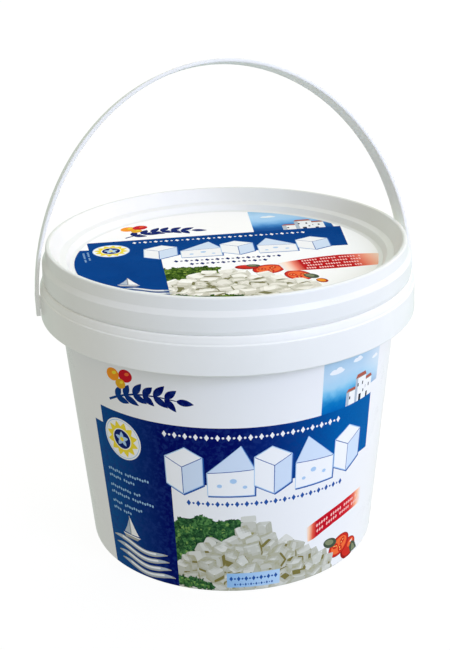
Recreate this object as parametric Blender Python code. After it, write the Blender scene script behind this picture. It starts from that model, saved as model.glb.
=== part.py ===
"""A shut round plastic food pail: tapered body with a deep collar, press-on lid
with a stacking recess, and a strap bail on two snap-in pins.

Frame: metres, +Z up. The origin is the centre of the base, at the level the
pail stands on. The bail's pivot axis is parallel to X. The bail is modelled
raised, leaning a little towards +Y.
"""
import math

import bmesh
import bpy
from mathutils import Matrix, Vector

MM = 0.001
SEGMENTS = 72            # sides of every turned shape

# ---- pail ------------------------------------------------------------------
BASE_R = 77.1 * MM       # wall radius, carried down to the standing level
WALL_R = 87.6 * MM       # wall radius at the collar's lower edge
COLLAR_Z0 = 129.2 * MM   # collar's lower edge
COLLAR_Z1 = 148.3 * MM   # collar's top ledge, under the lid's edge
COLLAR_R0 = 97.3 * MM    # collar radius at its lower edge
COLLAR_R1 = 96.8 * MM    # collar radius at its ridge
RIDGE_Z = 143.8 * MM     # height of the ridge round the collar
LEDGE_R = 95.3 * MM      # outer edge of the top ledge
COLLAR_T = 1.7 * MM      # thickness of the hanging collar
WEB_T = 2.2 * MM         # thickness of the web that carries the collar
BASE_ROUND = 2.2 * MM    # rounding between wall and base
FOOT_R = 68.5 * MM       # inner edge of the ring the pail stands on
FOOT_UP = 1.2 * MM       # rise of the base inside that ring

# ---- lid -------------------------------------------------------------------
GAP = 0.3 * MM           # clearance between lid and pail
LID_T = 1.4 * MM         # wall thickness
PANEL_Z = 154.3 * MM     # upper face of the recessed panel
PANEL_R = 79.4 * MM      # edge of the flat panel
STEP_R, STEP_Z = 86.9 * MM, 158.7 * MM    # shoulder in the recess wall
RIM_Z = 165.7 * MM       # top of the rim
RIM_R0 = 90.1 * MM       # inner edge of the rim's top
RIM_R1 = 92.4 * MM       # outer edge of the rim's top
BAND_R, BAND_Z = 93.3 * MM, 160.3 * MM    # where the sloping band starts
SKIRT_R, SKIRT_Z = 94.8 * MM, 156.9 * MM  # where the upright skirt starts
SKIRT_R0 = 95.1 * MM     # skirt radius at its lower edge
SKIRT_Z0 = 148.9 * MM    # skirt's lower edge

# ---- bail ------------------------------------------------------------------
PIVOT_Z = 138.8 * MM     # height of the pivot axis
STRAP_X = 99.3 * MM      # strap's middle surface at the pivots
STRAP_H = 114.0 * MM     # arch height above the pivot axis
STRAP_W = 17.0 * MM      # strap width
STRAP_T = 2.2 * MM       # strap thickness
STRAP_EDGE = 0.5 * MM    # bevel on the strap's long edges
STRAP_SWAY = 3.1 * MM    # sideways sway of the flexible arch at its top
TAB_DOWN = 7.6 * MM      # how far each end runs below the axis
TAB_ROUND = 5.0 * MM     # corner rounding of each end
LEAN = math.radians(13.6)  # how far the raised bail leans towards +Y
ARCH_STEPS = 56
PIN_R = 2.9 * MM         # pin through the collar
PIN_HOLE_R = 3.3 * MM    # hole in the collar
BOSS_R = 3.6 * MM        # collar-side boss on the strap
BOSS_T = 0.55 * MM
HEAD_R = 4.1 * MM        # snap head inside the collar
HEAD_T = 1.3 * MM
HEAD_X = 93.3 * MM       # inner face of the snap head
ROUND_SIDES = 28         # sides of pins, heads and holes


def clear_scene():
    for obj in list(bpy.data.objects):
        bpy.data.objects.remove(obj, do_unlink=True)


def plastic(name, colour, roughness):
    mat = bpy.data.materials.new(name)
    mat.use_nodes = True
    shader = mat.node_tree.nodes["Principled BSDF"]
    shader.inputs["Base Color"].default_value = (*colour, 1.0)
    shader.inputs["Roughness"].default_value = roughness
    shader.inputs["Metallic"].default_value = 0.0
    return mat


def add_object(name, bm, material, smooth_angle=30.0):
    bmesh.ops.recalc_face_normals(bm, faces=bm.faces)
    mesh = bpy.data.meshes.new(name)
    bm.to_mesh(mesh)
    bm.free()
    mesh.shade_smooth()
    mesh.set_sharp_from_angle(angle=math.radians(smooth_angle))
    mesh.materials.append(material)
    obj = bpy.data.objects.new(name, mesh)
    bpy.context.scene.collection.objects.link(obj)
    return obj


def arc(centre, radius, start_deg, end_deg, steps):
    """Points on an arc in the (radius, height) plane."""
    points = []
    for i in range(steps + 1):
        a = math.radians(start_deg + (end_deg - start_deg) * i / steps)
        points.append((centre[0] + radius * math.cos(a), centre[1] + radius * math.sin(a)))
    return points


def turned(profile, segments=SEGMENTS):
    """Spin an open (radius, height) profile, with both ends on the axis, into a solid."""
    bm = bmesh.new()
    verts = [bm.verts.new((r, 0.0, z)) for r, z in profile]
    edges = [bm.edges.new(pair) for pair in zip(verts, verts[1:])]
    bmesh.ops.spin(bm, geom=verts + edges, axis=(0, 0, 1), cent=(0, 0, 0),
                   angle=2 * math.pi, steps=segments, use_merge=True)
    bmesh.ops.remove_doubles(bm, verts=bm.verts, dist=1e-6)
    return bm


def wall_radius(z):
    return BASE_R + (WALL_R - BASE_R) * z / COLLAR_Z0


def pail_profile():
    """From the middle of the fill's upper face, over the bead, down the outside, to the base."""
    inside = PANEL_Z - LID_T - GAP
    points = [(0.0, inside), (PANEL_R + 0.2 * MM, inside)]
    # the fill and the pail's mouth follow the underside of the lid's recess wall
    points += [(STEP_R - 1.9 * MM, STEP_Z - 3.0 * MM), (RIM_R0 - 1.9 * MM, RIM_Z - 6.7 * MM)]
    # bead that the lid snaps over
    points += [(RIM_R0 + 0.55 * MM, RIM_Z - 3.6 * MM), (RIM_R0 + 1.2 * MM, RIM_Z - 3.2 * MM),
               (RIM_R0 + 1.8 * MM, RIM_Z - 4.2 * MM)]
    points += [(SKIRT_R - LID_T - GAP - 0.1 * MM, SKIRT_Z - 0.6 * MM),
               (SKIRT_R - LID_T - GAP, COLLAR_Z1)]
    # ledge, chamfer and ridge of the collar
    points += [(LEDGE_R, COLLAR_Z1), (COLLAR_R1, RIDGE_Z + 0.3 * MM), (COLLAR_R1 + 0.1 * MM, RIDGE_Z - 0.5 * MM)]
    points += [(COLLAR_R0, COLLAR_Z0 + 0.6 * MM), (COLLAR_R0 - 0.5 * MM, COLLAR_Z0)]
    # inside of the hanging collar and the web above it
    points += [(COLLAR_R0 - COLLAR_T, COLLAR_Z0), (COLLAR_R1 - COLLAR_T, COLLAR_Z1 - WEB_T - 1.2 * MM),
               (COLLAR_R1 - COLLAR_T - 1.2 * MM, COLLAR_Z1 - WEB_T)]
    points += [(wall_radius(COLLAR_Z1 - WEB_T) + 1.2 * MM, COLLAR_Z1 - WEB_T),
               (wall_radius(COLLAR_Z1 - WEB_T - 1.2 * MM), COLLAR_Z1 - WEB_T - 1.2 * MM)]
    # tapered wall, rounded into the base
    slope = math.atan2(WALL_R - BASE_R, COLLAR_Z0)
    centre = (BASE_R - BASE_ROUND * (1 - math.sin(slope)) / math.cos(slope), BASE_ROUND)
    points += arc(centre, BASE_ROUND, -math.degrees(slope), -90.0, 4)
    # ring to stand on and the base inside it
    points += [(FOOT_R, 0.0), (FOOT_R - 1.2 * MM, FOOT_UP), (0.0, FOOT_UP)]
    return points


def lid_profile():
    """From the middle of the panel, out over the rim, down the skirt, back along the underside."""
    points = [(0.0, PANEL_Z), (PANEL_R - 0.6 * MM, PANEL_Z), (PANEL_R + 0.4 * MM, PANEL_Z + 0.25 * MM)]
    points += [(STEP_R - 0.9 * MM, STEP_Z - 0.55 * MM), (STEP_R, STEP_Z)]
    points += [(RIM_R0 - 0.25 * MM, RIM_Z - 0.9 * MM), (RIM_R0 + 0.2 * MM, RIM_Z - 0.2 * MM),
               (RIM_R0 + 0.8 * MM, RIM_Z)]
    points += [(RIM_R1 - 0.7 * MM, RIM_Z), (RIM_R1 - 0.1 * MM, RIM_Z - 0.35 * MM),
               (RIM_R1 + 0.15 * MM, RIM_Z - 1.0 * MM)]
    points += [(BAND_R, BAND_Z), (SKIRT_R, SKIRT_Z), (SKIRT_R0, SKIRT_Z0 + 0.3 * MM),
               (SKIRT_R0 - 0.3 * MM, SKIRT_Z0)]
    # inside of the skirt and the channel over the pail's bead
    points += [(SKIRT_R0 - LID_T, SKIRT_Z0), (SKIRT_R - LID_T, SKIRT_Z),
               (RIM_R1 - 0.15 * MM, RIM_Z - 3.6 * MM), (RIM_R0 + 1.25 * MM, RIM_Z - 2.4 * MM),
               (RIM_R0 + 0.45 * MM, RIM_Z - 2.9 * MM)]
    points += [(RIM_R0 - 1.75 * MM, RIM_Z - 6.2 * MM), (STEP_R - 1.75 * MM, STEP_Z - 2.4 * MM),
               (PANEL_R + 0.3 * MM, PANEL_Z - LID_T), (0.0, PANEL_Z - LID_T)]
    return points


def rod(radius, x0, x1, z, sides=ROUND_SIDES):
    """Closed cylinder along X."""
    bm = bmesh.new()
    bmesh.ops.create_cone(bm, cap_ends=True, cap_tris=False, segments=sides,
                          radius1=radius, radius2=radius, depth=x1 - x0)
    turn = Matrix.Rotation(math.radians(90), 4, "Y") @ Matrix.Rotation(math.pi / sides, 4, "Z")
    bmesh.ops.transform(bm, matrix=Matrix.Translation(((x0 + x1) / 2, 0, z)) @ turn, verts=bm.verts)
    return bm


def joined(name, sign):
    """Pin at one end of the bail: boss, stud and snap head, turned about the pivot axis."""
    face = STRAP_X - STRAP_T / 2
    overlap = 0.5 * MM
    profile = [(face + overlap, 0.0), (face + overlap, BOSS_R), (face - BOSS_T, BOSS_R), (face - BOSS_T, PIN_R),
               (HEAD_X + HEAD_T, PIN_R), (HEAD_X + HEAD_T, HEAD_R), (HEAD_X + 0.5 * MM, HEAD_R),
               (HEAD_X, HEAD_R - 0.9 * MM), (HEAD_X, 0.0)]
    bm = bmesh.new()
    verts = [bm.verts.new((sign * x, r, 0.0)) for x, r in profile]
    edges = [bm.edges.new(pair) for pair in zip(verts, verts[1:])]
    bmesh.ops.spin(bm, geom=verts + edges, axis=(1, 0, 0), cent=(0, 0, 0),
                   angle=2 * math.pi, steps=ROUND_SIDES, use_merge=True)
    bmesh.ops.remove_doubles(bm, verts=bm.verts, dist=1e-6)
    return bm


def strap_path():
    """Middle line of the strap, in its own plane: (across, up, width) about the pivot axis."""
    path = []
    end_steps = 5
    for i in range(end_steps):                      # rounded end of the first arm
        a = math.radians(90.0 * i / end_steps)
        path.append((-STRAP_X, -TAB_DOWN + TAB_ROUND * (1 - math.cos(a)),
                     STRAP_W - 2 * TAB_ROUND * (1 - math.sin(a))))
    path.append((-STRAP_X, -TAB_DOWN + TAB_ROUND, STRAP_W))
    for i in range(ARCH_STEPS + 1):                 # elliptical arch
        a = math.pi * i / ARCH_STEPS
        path.append((-STRAP_X * math.cos(a), STRAP_H * math.sin(a), STRAP_W))
    mirrored = [(-x, z, w) for x, z, w in path[:end_steps + 1]]
    return path + mirrored[::-1]


def strap():
    """Sweep the bevelled strap section along its path; the plane of the arch is XZ."""
    path = [(x + STRAP_SWAY * z / STRAP_H, z, w) for x, z, w in strap_path()]
    bm = bmesh.new()
    rings = []
    for i, (x, z, width) in enumerate(path):
        before, after = path[max(i - 1, 0)], path[min(i + 1, len(path) - 1)]
        along = Vector((after[0] - before[0], 0.0, after[1] - before[1])).normalized()
        outward = Vector((-along.z, 0.0, along.x))
        half, thick, edge = width / 2, STRAP_T / 2, STRAP_EDGE
        section = [(-half, -thick + edge), (-half + edge, -thick), (half - edge, -thick), (half, -thick + edge),
                   (half, thick - edge), (half - edge, thick), (-half + edge, thick), (-half, thick - edge)]
        ring = [bm.verts.new(Vector((x, y, z)) + outward * t) for y, t in section]
        rings.append(ring)
    for a, b in zip(rings, rings[1:]):
        for k in range(8):
            bm.faces.new((a[k], a[(k + 1) % 8], b[(k + 1) % 8], b[k]))
    bm.faces.new(rings[0])
    bm.faces.new(rings[-1][::-1])
    return bm


def boolean(target, other, operation):
    mod = target.modifiers.new(operation.title(), "BOOLEAN")
    mod.operation = operation
    mod.object = other
    mod.solver = "EXACT"


def hide_guide(obj):
    obj.hide_render = True
    obj.display_type = "WIRE"


def main():
    clear_scene()
    body_mat = plastic("pail_plastic", (0.86, 0.87, 0.86), 0.38)
    lid_mat = plastic("lid_plastic", (0.87, 0.88, 0.87), 0.36)
    bail_mat = plastic("bail_plastic", (0.84, 0.85, 0.85), 0.35)

    body = add_object("pail_body", turned(pail_profile()), body_mat)
    for side, sign in (("left", -1), ("right", 1)):
        inner, outer = 91.5 * MM, 99.0 * MM
        hole = add_object("pin_hole_" + side, rod(PIN_HOLE_R, min(sign * inner, sign * outer),
                                                  max(sign * inner, sign * outer), PIVOT_Z), body_mat)
        hide_guide(hole)
        boolean(body, hole, "DIFFERENCE")

    add_object("lid", turned(lid_profile()), lid_mat)

    axis = bpy.data.objects.new("bail_axis", None)
    axis.empty_display_size = 0.02
    axis.location = (0.0, 0.0, PIVOT_Z)
    axis.rotation_euler = (-LEAN, 0.0, 0.0)
    bpy.context.scene.collection.objects.link(axis)
    bail = add_object("bail", strap(), bail_mat, 40.0)
    bail.parent = axis
    for side, sign in (("left", -1), ("right", 1)):
        pin = add_object("pin_" + side, joined(side, sign), bail_mat, 40.0)
        pin.parent = axis
        hide_guide(pin)
        boolean(bail, pin, "UNION")


main()
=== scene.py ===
"""Looks for a shut round white cheese pail: hi-res plastic pieces, printed in-mould labels, studio."""
import math
import random

import bmesh
import bpy
import numpy as np
from mathutils import Matrix, Vector
from mathutils.geometry import delaunay_2d_cdt


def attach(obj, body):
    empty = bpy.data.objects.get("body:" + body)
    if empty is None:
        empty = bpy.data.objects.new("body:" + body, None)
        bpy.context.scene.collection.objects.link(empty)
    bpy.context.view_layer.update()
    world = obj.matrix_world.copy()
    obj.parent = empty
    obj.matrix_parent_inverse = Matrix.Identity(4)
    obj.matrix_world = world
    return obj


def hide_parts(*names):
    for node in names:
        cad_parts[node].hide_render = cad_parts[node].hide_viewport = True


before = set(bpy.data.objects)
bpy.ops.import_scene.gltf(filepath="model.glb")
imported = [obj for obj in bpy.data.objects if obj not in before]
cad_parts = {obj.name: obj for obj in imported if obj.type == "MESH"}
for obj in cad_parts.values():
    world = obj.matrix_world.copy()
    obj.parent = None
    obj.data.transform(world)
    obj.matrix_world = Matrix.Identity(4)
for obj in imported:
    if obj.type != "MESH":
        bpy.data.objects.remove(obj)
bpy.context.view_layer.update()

MM = 0.001
TURN = 264               # sides of every turned piece

# ---- the pail's driving sizes, as in the CAD -------------------------------
BASE_R, WALL_R = 77.1, 87.6
COLLAR_Z0, COLLAR_Z1 = 129.2, 148.3
COLLAR_R0, COLLAR_R1, RIDGE_Z, LEDGE_R = 97.3, 96.8, 143.8, 95.3
COLLAR_T, WEB_T = 1.7, 2.2
BASE_ROUND, FOOT_R, FOOT_UP = 2.2, 68.5, 1.2
GAP, LID_T = 0.3, 1.4
PANEL_Z, PANEL_R = 154.3, 79.4
STEP_R, STEP_Z = 86.9, 158.7
RIM_Z, RIM_R0, RIM_R1 = 165.7, 90.1, 92.4
BAND_R, BAND_Z = 93.3, 160.3
SKIRT_R, SKIRT_Z, SKIRT_R0, SKIRT_Z0 = 94.8, 156.9, 95.1, 148.9
PIVOT_Z, STRAP_X, STRAP_H, STRAP_W, STRAP_T = 138.8, 98.9, 114.0, 15.2, 2.0
STRAP_SHIFT, SHOULDER = 0.4, (1.022, 1.008)
STRAP_SWAY, TAB_DOWN, TAB_ROUND, LEAN = 3.1, 6.6, 3.4, math.radians(13.6)
FOOT_SLEW, FOOT_THIN = 0.4, 0.35    # the left arm's foot is turned a little and thinner, clear of the collar as it swings
PIN_R, PIN_HOLE_R, BOSS_R, BOSS_T, HEAD_R, HEAD_T, HEAD_X = 2.9, 3.3, 3.6, 0.55, 4.1, 1.3, 93.3


# ============================================================================
# node helpers
# ============================================================================
def srgb(r, g, b):
    """0-255 display values to linear."""
    out = []
    for c in (r, g, b):
        c = c / 255.0
        out.append(c / 12.92 if c <= 0.04045 else ((c + 0.055) / 1.055) ** 2.4)
    return tuple(out)


class Nodes:
    def __init__(self, tree):
        self.tree = tree
        self.n, self.l = tree.nodes, tree.links

    def add(self, kind, values=None, **props):
        node = self.n.new(kind)
        for k, v in props.items():
            setattr(node, k, v)
        for k, v in (values or {}).items():
            if hasattr(v, "is_linked") or isinstance(v, bpy.types.NodeSocket):
                self.l.new(v, node.inputs[k])
            else:
                node.inputs[k].default_value = v
        return node

    def math(self, op, a, b=None, c=None, clamp=False):
        node = self.n.new("ShaderNodeMath")
        node.operation = op
        node.use_clamp = clamp
        for i, v in enumerate((a, b, c)):
            if v is None:
                continue
            if isinstance(v, bpy.types.NodeSocket):
                self.l.new(v, node.inputs[i])
            else:
                node.inputs[i].default_value = v
        return node.outputs[0]

    def mix(self, fac, a, b, blend="MIX"):
        node = self.n.new("ShaderNodeMix")
        node.data_type = "RGBA"
        node.blend_type = blend
        node.clamp_factor = True
        for i, v in ((0, fac), (6, a), (7, b)):
            if isinstance(v, bpy.types.NodeSocket):
                self.l.new(v, node.inputs[i])
            elif i == 0:
                node.inputs[i].default_value = v
            else:
                node.inputs[i].default_value = (*v[:3], 1.0)
        return node.outputs[2]

    def ramp(self, fac, stops, interp="LINEAR"):
        node = self.n.new("ShaderNodeValToRGB")
        node.color_ramp.interpolation = interp
        els = node.color_ramp.elements
        while len(els) > 1:
            els.remove(els[-1])
        els[0].position = stops[0][0]
        els[0].color = (*stops[0][1], 1.0)
        for pos, col in stops[1:]:
            e = els.new(pos)
            e.color = (*col, 1.0)
        self.l.new(fac, node.inputs[0])
        return node.outputs[0]

    def noise(self, vec, scale, detail=3.0, rough=0.5, distort=0.0):
        node = self.n.new("ShaderNodeTexNoise")
        node.inputs["Scale"].default_value = scale
        node.inputs["Detail"].default_value = detail
        node.inputs["Roughness"].default_value = rough
        node.inputs["Distortion"].default_value = distort
        self.l.new(vec, node.inputs["Vector"])
        return node.outputs["Fac"]

    def maprange(self, v, a0, a1, b0, b1):
        node = self.n.new("ShaderNodeMapRange")
        self.l.new(v, node.inputs["Value"])
        for k, x in (("From Min", a0), ("From Max", a1), ("To Min", b0), ("To Max", b1)):
            node.inputs[k].default_value = x
        return node.outputs["Result"]


def material(name):
    mat = bpy.data.materials.new(name)
    mat.use_nodes = True
    k = Nodes(mat.node_tree)
    shader = mat.node_tree.nodes["Principled BSDF"]
    coord = k.n.new("ShaderNodeTexCoord").outputs["Object"]
    return mat, k, shader, coord


def plastic(name, tone, rough=0.34, haze=0.05, sub=0.0, relief=0.22):
    """Satin moulded plastic: cloudy colour, flow marks in the gloss, a very fine orange-peel bump."""
    mat, k, shader, coord = material(name)
    cloud = k.noise(coord, 22.0, 4.0, 0.55, 0.4)
    fine = k.noise(coord, 190.0, 3.0, 0.6)
    lo = tuple(c * (1.0 - haze) for c in tone)
    hi = tuple(min(1.0, c * (1.0 + haze * 0.5)) for c in tone)
    base = k.mix(k.maprange(cloud, 0.3, 0.7, 0.0, 1.0), lo, hi)
    base = k.mix(k.maprange(fine, 0.35, 0.65, 0.0, 0.22), base, tuple(c * 0.97 for c in tone))
    k.l.new(base, shader.inputs["Base Color"])
    r = k.maprange(cloud, 0.25, 0.75, rough - 0.04, rough + 0.05)
    r = k.math("ADD", r, k.maprange(fine, 0.3, 0.7, -0.015, 0.02))
    k.l.new(r, shader.inputs["Roughness"])
    shader.inputs["IOR"].default_value = 1.49
    shader.inputs["Specular IOR Level"].default_value = 0.35
    if sub:
        shader.inputs["Subsurface Weight"].default_value = sub
        shader.inputs["Subsurface Radius"].default_value = (1.0, 1.0, 0.9)
        shader.inputs["Subsurface Scale"].default_value = 0.002
    peel = k.noise(coord, 900.0, 2.0, 0.5)
    wave = k.noise(coord, 55.0, 1.0, 0.5)
    height = k.math("ADD", k.math("MULTIPLY", peel, 0.05), k.math("MULTIPLY", wave, 0.35))
    bump = k.add("ShaderNodeBump", {"Strength": relief, "Distance": 0.0004, "Height": height})
    k.l.new(bump.outputs[0], shader.inputs["Normal"])
    return mat


# ============================================================================
# turned pieces
# ============================================================================
def rounded(points, radius, steps=4):
    """Replace the inner corners of an open (r, z) path with small arcs. radius: number or per-corner dict."""
    out = [points[0]]
    for i in range(1, len(points) - 1):
        p, a, b = Vector(points[i]), Vector(points[i - 1]), Vector(points[i + 1])
        rad = radius.get(i, radius[None]) if isinstance(radius, dict) else radius
        va, vb = a - p, b - p
        la, lb = va.length, vb.length
        if rad <= 0 or la < 1e-6 or lb < 1e-6:
            out.append(tuple(p))
            continue
        va.normalize()
        vb.normalize()
        ang = math.acos(max(-1.0, min(1.0, va.dot(vb))))
        if ang > math.radians(178.5):
            out.append(tuple(p))
            continue
        cut = min(rad / math.tan(ang / 2), 0.48 * la, 0.48 * lb)
        s, e = p + va * cut, p + vb * cut
        for j in range(steps + 1):
            t = j / steps
            q = s * (1 - t) ** 2 + p * (2 * t * (1 - t)) + e * t ** 2
            out.append((q.x, q.y))
    out.append(points[-1])
    return out


def add_object(name, bm, mats, angle=32.0):
    mesh = bpy.data.meshes.new(name)
    bm.to_mesh(mesh)
    bm.free()
    mesh.shade_smooth()
    mesh.set_sharp_from_angle(angle=math.radians(angle))
    for m in mats:
        mesh.materials.append(m)
    obj = bpy.data.objects.new(name, mesh)
    bpy.context.scene.collection.objects.link(obj)
    return obj


def turned(profile, segments=TURN):
    """Turn an (r, z) path in mm, with both ends on the axis, into one closed mesh."""
    bm = bmesh.new()
    rings = []
    for r, z in profile:
        if r < 1e-6:
            rings.append([bm.verts.new((0, 0, z * MM))])
        else:
            rings.append([bm.verts.new((r * MM * math.cos(2 * math.pi * i / segments),
                                        r * MM * math.sin(2 * math.pi * i / segments), z * MM))
                          for i in range(segments)])
    for a, b in zip(rings, rings[1:]):
        for i in range(segments):
            j = (i + 1) % segments
            if len(a) == 1:
                bm.faces.new((a[0], b[i], b[j]))
            elif len(b) == 1:
                bm.faces.new((a[i], b[0], a[j]))
            else:
                bm.faces.new((a[i], b[i], b[j], a[j]))
    bmesh.ops.recalc_face_normals(bm, faces=bm.faces)
    return bm


def wall_radius(z):
    return BASE_R + (WALL_R - BASE_R) * z / COLLAR_Z0


def arc(centre, radius, start, end, steps):
    return [(centre[0] + radius * math.cos(math.radians(start + (end - start) * i / steps)),
             centre[1] + radius * math.sin(math.radians(start + (end - start) * i / steps))) for i in range(steps + 1)]


def pail_profile():
    inside = PANEL_Z - LID_T - GAP
    p = [(0.0, inside), (PANEL_R + 0.2, inside), (STEP_R - 1.9, STEP_Z - 3.0), (RIM_R0 - 1.9, RIM_Z - 6.7)]
    p += [(RIM_R0 + 0.55, RIM_Z - 3.6), (RIM_R0 + 1.2, RIM_Z - 3.2), (RIM_R0 + 1.8, RIM_Z - 4.2)]
    p += [(SKIRT_R - LID_T - GAP - 0.1, SKIRT_Z - 0.6), (SKIRT_R - LID_T - GAP, COLLAR_Z1)]
    head = rounded(p + [(LEDGE_R - 0.5, COLLAR_Z1)], 0.4)[:-1]
    q = [(SKIRT_R - LID_T - GAP, COLLAR_Z1), (LEDGE_R - 0.5, COLLAR_Z1), (LEDGE_R + 0.25, COLLAR_Z1 - 0.5),
         (COLLAR_R1 - 0.5, RIDGE_Z + 1.5), (COLLAR_R1 - 0.4, RIDGE_Z + 0.75), (COLLAR_R1 + 0.12, RIDGE_Z + 0.2),
         (COLLAR_R1 + 0.17, RIDGE_Z - 0.5), (COLLAR_R0, COLLAR_Z0 + 0.6), (COLLAR_R0 - 0.5, COLLAR_Z0),
         (COLLAR_R0 - COLLAR_T, COLLAR_Z0), (COLLAR_R1 - COLLAR_T, COLLAR_Z1 - WEB_T - 1.2),
         (COLLAR_R1 - COLLAR_T - 1.2, COLLAR_Z1 - WEB_T),
         (wall_radius(COLLAR_Z1 - WEB_T) + 1.2, COLLAR_Z1 - WEB_T),
         (wall_radius(COLLAR_Z1 - WEB_T - 1.2), COLLAR_Z1 - WEB_T - 1.2)]
    mid = rounded(q, {None: 0.5, 1: 0.6, 2: 0.8, 3: 0.8, 4: 0.35, 5: 0.35, 6: 0.35, 7: 0.35, 8: 0.35, 9: 0.5,
                      10: 0.9, 11: 0.9, 12: 0.9})[1:]
    slope = math.atan2(WALL_R - BASE_R, COLLAR_Z0)
    centre = (BASE_R - BASE_ROUND * (1 - math.sin(slope)) / math.cos(slope), BASE_ROUND)
    wall = [(wall_radius(z), z) for z in (135.0, 120.0, 100.0, 80.0, 60.0, 40.0, 20.0, 8.0)]
    foot = arc(centre, BASE_ROUND, -math.degrees(slope), -90.0, 10)
    under = rounded([foot[-1], (FOOT_R, 0.0), (FOOT_R - 1.2, FOOT_UP), (40.0, FOOT_UP), (0.0, FOOT_UP)], 0.4)[1:]
    return head + mid + wall + foot + under


def lid_profile():
    top = [(0.0, PANEL_Z), (40.0, PANEL_Z), (PANEL_R - 0.6, PANEL_Z), (PANEL_R + 1.3, PANEL_Z + 0.45),
           (STEP_R - 4.3, STEP_Z - 1.0), (STEP_R - 0.9, STEP_Z - 0.1), (RIM_R0 - 0.25, RIM_Z - 0.9), (RIM_R0 + 0.2, RIM_Z - 0.2),
           (RIM_R0 + 0.8, RIM_Z), (RIM_R1 - 0.5, RIM_Z), (RIM_R1, RIM_Z - 0.25), (RIM_R1 + 0.2, RIM_Z - 0.8),
           (BAND_R - 0.1, BAND_Z - 0.5), (SKIRT_R + 0.05, SKIRT_Z + 0.3), (SKIRT_R0, SKIRT_Z0 + 1.2),
           (SKIRT_R0 - 0.4, SKIRT_Z0 - 0.58), (SKIRT_R0 - LID_T, SKIRT_Z0 - 0.58), (SKIRT_R - LID_T, SKIRT_Z),
           (RIM_R1 - 0.15, RIM_Z - 3.6), (RIM_R0 + 1.25, RIM_Z - 2.4), (RIM_R0 + 0.45, RIM_Z - 2.9),
           (RIM_R0 - 1.75, RIM_Z - 6.2), (STEP_R - 1.75, STEP_Z - 2.4), (PANEL_R + 0.3, PANEL_Z - LID_T),
           (0.0, PANEL_Z - LID_T)]
    return rounded(top, {None: 0.3, 2: 0.0, 3: 0.9, 4: 0.55, 5: 0.7, 6: 0.4, 12: 0.45, 13: 0.45, 14: 0.8, 15: 0.3,
                         17: 0.6, 18: 0.5, 21: 0.6, 22: 0.6, 23: 0.6}, 4)


# ============================================================================
# the bail: bevelled strap with moulded pins
# ============================================================================
def bail_path(steps=150, ends=12):
    path = []
    for i in range(ends):
        a = math.radians(90.0 * i / ends)
        path.append((-STRAP_X, -TAB_DOWN + TAB_ROUND * (1 - math.cos(a)), STRAP_W - 2 * TAB_ROUND * (1 - math.sin(a))))
    path.append((-STRAP_X, -TAB_DOWN + TAB_ROUND, STRAP_W))
    for i in range(steps + 1):
        a = math.pi * i / steps
        c, s = math.cos(a), math.sin(a)
        power = SHOULDER[0] + (SHOULDER[1] - SHOULDER[0]) * (1 - c) / 2
        path.append((-STRAP_X * math.copysign(abs(c) ** power, c), STRAP_H * s ** power, STRAP_W))
    mirrored = [(-x, z, w) for x, z, w in path[:ends + 1]]
    return [(x + STRAP_SHIFT + STRAP_SWAY * z / STRAP_H, z, w) for x, z, w in path + mirrored[::-1]]


def bail_mesh():
    """The strap: round long edges and a shallow flute down the middle of both faces, as moulded."""
    path = bail_path()
    bm = bmesh.new()
    rings = []
    thick, edge, flute = STRAP_T / 2, 0.62, 0.16
    for i, (x, z, width) in enumerate(path):
        before, after = path[max(i - 1, 0)], path[min(i + 1, len(path) - 1)]
        along = Vector((after[0] - before[0], 0.0, after[1] - before[1])).normalized()
        outward = Vector((-along.z, 0.0, along.x))
        half = width / 2
        fl = flute * min(1.0, max(0.0, (z - 16.0) / 9.0))    # the end tabs are flat
        foot = min(1.0, max(0.0, (46.0 - z) / 24.0)) if x < 0 else 0.0
        thin = FOOT_THIN * foot * min(1.0, max(0.0, (z - 2.6) / 1.6))    # the pad round the pin keeps its thickness
        side = []
        for j in range(5):                                     # rounded long edge
            a = math.radians(90.0 * j / 4)
            side.append((half - edge + edge * math.sin(a), thick - edge + edge * math.cos(a)))
        inner = [(half - 2.6, thick), (half - 3.1, thick - fl * 0.5), (half - 3.8, thick - fl)]
        if half < 5.4:
            inner = [(half * 0.5, thick), (half * 0.4, thick), (half * 0.3, thick)]
        quarter = inner[::-1] + side                           # from the middle out, upper half
        lower = [(y, -t) for y, t in quarter[::-1]]
        right = quarter + lower
        section = right + [(-y, -t) for y, t in right]
        ring = [bm.verts.new((Vector((x - foot * FOOT_SLEW * (0.5 - y / STRAP_W), y, z))
                              + outward * (t if t > 0 else t * (1.0 - thin / thick))) * MM) for y, t in section]
        rings.append(ring)
    n = len(rings[0])
    for a, b in zip(rings, rings[1:]):
        for k in range(n):
            bm.faces.new((a[k], a[(k + 1) % n], b[(k + 1) % n], b[k]))
    for ring in (rings[0], rings[-1]):
        mid = [ring[i] for i in range(n)]
        bm.faces.new(mid if ring is rings[0] else mid[::-1])
    bmesh.ops.recalc_face_normals(bm, faces=bm.faces)
    return bm


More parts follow.
